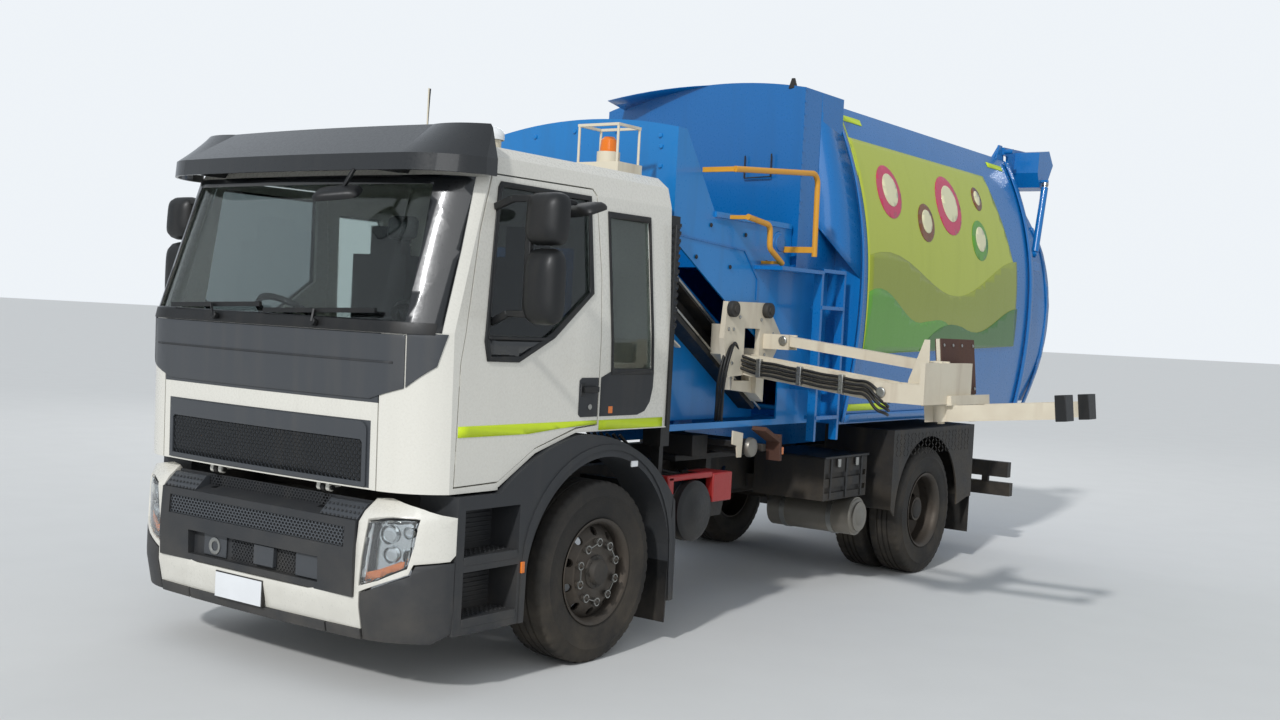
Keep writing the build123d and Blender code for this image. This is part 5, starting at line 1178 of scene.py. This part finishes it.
for i, x in enumerate((0.93, -0.76)):
    y, z = bulk_y(x) + 0.02, COWL_TOP - COWL_BOW * x * x
    make(f"lifting_eye_{i}", "frame_black", "body", (slab, ((x - 0.035, y, z - 0.02),
        (x + 0.035, y, z - 0.02), (x + 0.012, y, z + 0.05), (x - 0.012, y, z + 0.05)), (0, 0.012, 0)),
        bevel=0.003)
front_spots = [(x, wall_y(x) - 0.004, 3.215 - 0.1 * x * x - 0.075) for x in (0.85, 0.45, 0.05, -0.35)]
front_spots += [(0.86, wall_y(0.86) - 0.004, 3.0 - i * 0.12) for i in range(3)]
dots("hopper_front_bolts", front_spots, 0.014, 0.008, (0.19, -1, 0), "sunlit_hopper_blue", "body", 14)
seam = [(HOPPER_FACE, y, z) for y, z in ((0.86, 2.46), (1.62, 2.42), (1.8, 2.24), (1.8, 2.1))]
make("hopper_seams", "shaded_body_blue", "body", *((bar, a, b, 0.006, 0.012, (0, 0.3, 1))
    for a, b in zip(seam, seam[1:])))
make("hopper_boss", "shaded_body_blue", "body", (rings, [(0.001, 0.014), (0.055, 0.014), (0.06, 0.008),
    (0.078, 0.006), (0.082, 0.0)], (1.001, 2.06, 2.5), (1, 0, 0), 40))
dots("hopper_side_bolts", [(1.001, y, z) for y, z in ((1.05, 2.34), (1.45, 2.3), (1.62, 2.52), (1.9, 2.36),
    (1.2, 2.55))], 0.014, 0.01, (1, 0, 0), "frame_black", "body", 14)
bm = bmesh.new()
x0, x1, z0, z1 = 0.52, 0.78, 2.98, 3.14
for a, b in (((x0, z0), (x1, z0)), ((x1, z0), (x1, z1)), ((x0, z0), (x0, z1))):
    bar(bm, (a[0], bulk_y(a[0]) - 0.004, a[1]), (b[0], bulk_y(b[0]) - 0.004, b[1]), 0.008, 0.008,
        (0, 0, 1) if a[1] == b[1] else (1, 0, 0))
finish(bm, "bulkhead_hatch", "frame_black", "body")
strut = ((0.93, 0.7, 2.175), (0.93, 0.638, 1.976), (0.93, 1.011, 1.772))
make("track_strut", "arm_cream", "body", *((bar, a, b, 0.012, 0.04, (1, 0, 0))
    for a, b in zip(strut, strut[1:])), bevel=0.004)
make("track_wear_strips", "steel", "body", *((bar, (TRACK_X, 0.775, 2.322 + off),
    (TRACK_X, 2.06, 1.548 + off), 0.006, 0.014, (0, 0, 1)) for off in (0.0, -0.19)), slot="frame_paint")

# Arm gusset at the head

make("head_gusset", "arm_cream", "head", (slab, ((2.12, 1.822, 1.52), (2.262, 1.822, 1.512),
    (2.25, 1.822, 1.9), (2.215, 1.822, 1.9), (2.12, 1.822, 1.64)), (0, 0.01, 0)), slot="arm_paint",
    bevel=0.002)

# Tailgate: ribs, hoses, edge bands

GATE_IN = 0.095


def gate_rear(z):
    """y of the tailgate's curved rear edge at a height."""
    rows = ((1.2, 6.64), (1.74, 6.885), (2.23, 6.945), (2.77, 6.8), (3.06, 6.58), (3.32, 6.33))
    for (za, ya), (zb, yb) in zip(rows, rows[1:]):
        if z <= zb:
            t = (z - za) / (zb - za)
            return ya + (yb - ya) * t
    return rows[-1][1]


bm = bmesh.new()
for x in (-0.62, 0.0, 0.62):
    levels = [1.28 + i * 0.1 for i in range(20)]
    rows = []
    for z in levels:
        y = gate_rear(z) + 0.004
        rows.append([bm.verts.new(at(x + dx, y + dy, z)) for dx, dy in ((-0.035, -0.03), (-0.028, 0.03),
            (0.028, 0.03), (0.035, -0.03))])
    for a, b in zip(rows, rows[1:]):
        for k in range(3):
            bm.faces.new((a[k], a[k + 1], b[k + 1], b[k]))
    bm.faces.new(rows[0])
    bm.faces.new(list(reversed(rows[-1])))
finish(bm, "gate_ribs", "shaded_body_blue", "tailgate", bevel=0.003)
for sx, side in SIDES:
    gate_side = body_side(sx, 0.006 - GATE_IN)
    loop = oblong(6.215, 1.27, 6.29, 3.25)
    skin(f"gate_band_{side}", [loop], gate_side, 0.012, "shaded_body_blue", "tailgate", 0.06)
    rim = [(gate_rear(z) - 0.075, z) for z in [1.3 + i * 0.12 for i in range(15)]]
    edge = [(gate_rear(z) - 0.012, z) for z in [2.98 - i * 0.12 for i in range(15)]]
    skin(f"gate_edge_{side}", [rim + edge], gate_side, 0.012, "shaded_body_blue", "tailgate", 0.06)
    tube(f"gate_hose_{side}", [(sx * 1.175, 6.17, 1.6), (sx * 1.245, 6.172, 2.2), (sx * 1.225, 6.176, 2.8),
        (sx * 1.12, 6.18, 3.2), (sx * 1.02, 6.168, 3.42)], 0.01, "body")
    make(f"gate_foot_box_{side}", "shaded_body_blue", "body", (block, sx * 1.15, sx * 1.246, 6.24, 6.42, 2.56,
        2.64), bevel=0.006)

# Frame details behind the cab

make("side_post", "pad_rust", "chassis", (bar, (1.06, 1.83, 1.245), (1.06, 2.03, 1.16), 0.03, 0.11,
    (1, 0, 0)), (bar, (1.06, 2.035, 1.2), (1.06, 2.05, 1.02), 0.03, 0.11, (1, 0, 0)), slot="frame_paint",
    bevel=0.004)
make("side_post_lamp", "amber", "chassis", (block, 1.076, 1.092, 2.085, 2.125, 1.06, 1.11), bevel=0.003)
make("hook_plate", "arm_cream", "chassis", (slab, ((1.04, 1.52, 1.24), (1.04, 1.65, 1.22),
    (1.04, 1.64, 1.06), (1.04, 1.59, 1.06), (1.04, 1.575, 1.14), (1.04, 1.52, 1.15)), (0.012, 0, 0)),
    bevel=0.003)
make("frame_brackets", "frame_black", "chassis", (bar, (0.6, 1.585, 1.15), (1.045, 1.585, 1.15), 0.04,
    0.04), (bar, (0.6, 1.93, 1.11), (1.05, 1.93, 1.11), 0.05, 0.05),
    (bar, (0.426, 1.585, 0.96), (0.62, 1.585, 1.16), 0.05, 0.05),
    (bar, (0.426, 1.93, 0.94), (0.62, 1.93, 1.12), 0.05, 0.05), (block, 0.56, 0.76, 1.3, 2.08, 1.02, 1.06),
    (block, 0.62, 0.86, 1.34, 1.52, 1.06, 1.2), slot="frame_paint", bevel=0.005)
for i in range(6):
    y = 0.82 + i * 0.11
    tube(f"cab_rear_hose_{i}", [(0.52 + 0.05 * i, 0.66, 1.22), (0.6 + 0.05 * i, 0.7 + 0.03 * i,
        1.06 - 0.01 * i), (0.7 + 0.03 * i, y, 0.99 - 0.012 * i), (0.62, y + 0.25, 0.95),
        (0.5, y + 0.45, 0.9)], 0.011, "chassis")

# Stage and light


def stage_and_light():
    bm = bmesh.new()
    size = 250.0
    bm.faces.new([bm.verts.new(at(x, y, 0)) for x, y in oblong(-size, -size, size, size)])
    mesh = bpy.data.meshes.new("floor")
    bm.to_mesh(mesh)
    bm.free()
    floor = bpy.data.objects.new("floor", mesh)
    bpy.context.scene.collection.objects.link(floor)
    m = Mat("floor")
    grain = m.noise(2.0)
    m.link(m.mix(m.ramp(grain, 0.3, 0.7, 0.0, 0.25), rgb("dcdcda"), rgb("d2d2d0")),
        m.bsdf.inputs["Base Color"])
    m.set(Roughness=0.9)
    mesh.materials.append(m.mat)

    world = bpy.data.worlds.new("world")
    bpy.context.scene.world = world
    world.use_nodes = True
    nodes, links = world.node_tree.nodes, world.node_tree.links
    nodes.clear()
    out = nodes.new("ShaderNodeOutputWorld")
    light = nodes.new("ShaderNodeBackground")
    light.inputs[0].default_value = (0.85, 0.92, 1.0, 1.0)
    light.inputs[1].default_value = 0.55
    seen = nodes.new("ShaderNodeBackground")
    seen.inputs[0].default_value = (0.86, 0.9, 0.94, 1.0)
    seen.inputs[1].default_value = 1.0
    path = nodes.new("ShaderNodeLightPath")
    swap = nodes.new("ShaderNodeMixShader")
    either = nodes.new("ShaderNodeMath")
    either.operation = "MAXIMUM"
    links.new(path.outputs["Is Camera Ray"], either.inputs[0])
    links.new(path.outputs["Is Transmission Ray"], either.inputs[1])
    links.new(either.outputs[0], swap.inputs[0])
    links.new(light.outputs[0], swap.inputs[1])
    links.new(seen.outputs[0], swap.inputs[2])
    links.new(swap.outputs[0], out.inputs[0])

    aim = (0, 2, 1)
    for name, kind, place, power, spread in (("sun", "SUN", (3, -11, 10), 1.9, 0.06),
            ("fill", "AREA", (10, -10, 7), 260, 8.0), ("back", "AREA", (-9, 12, 8), 260, 8.0)):
        data = bpy.data.lights.new(name, kind)
        data.energy = power
        if kind == "SUN":
            data.angle = spread
        else:
            data.size = spread
        lamp = bpy.data.objects.new(name, data)
        bpy.context.scene.collection.objects.link(lamp)
        lamp.location = at(*place)
        lamp.rotation_euler = (Vector(aim) - Vector(place)).to_track_quat("-Z", "Y").to_euler()
    bpy.context.scene.view_settings.view_transform = "Standard"


stage_and_light()
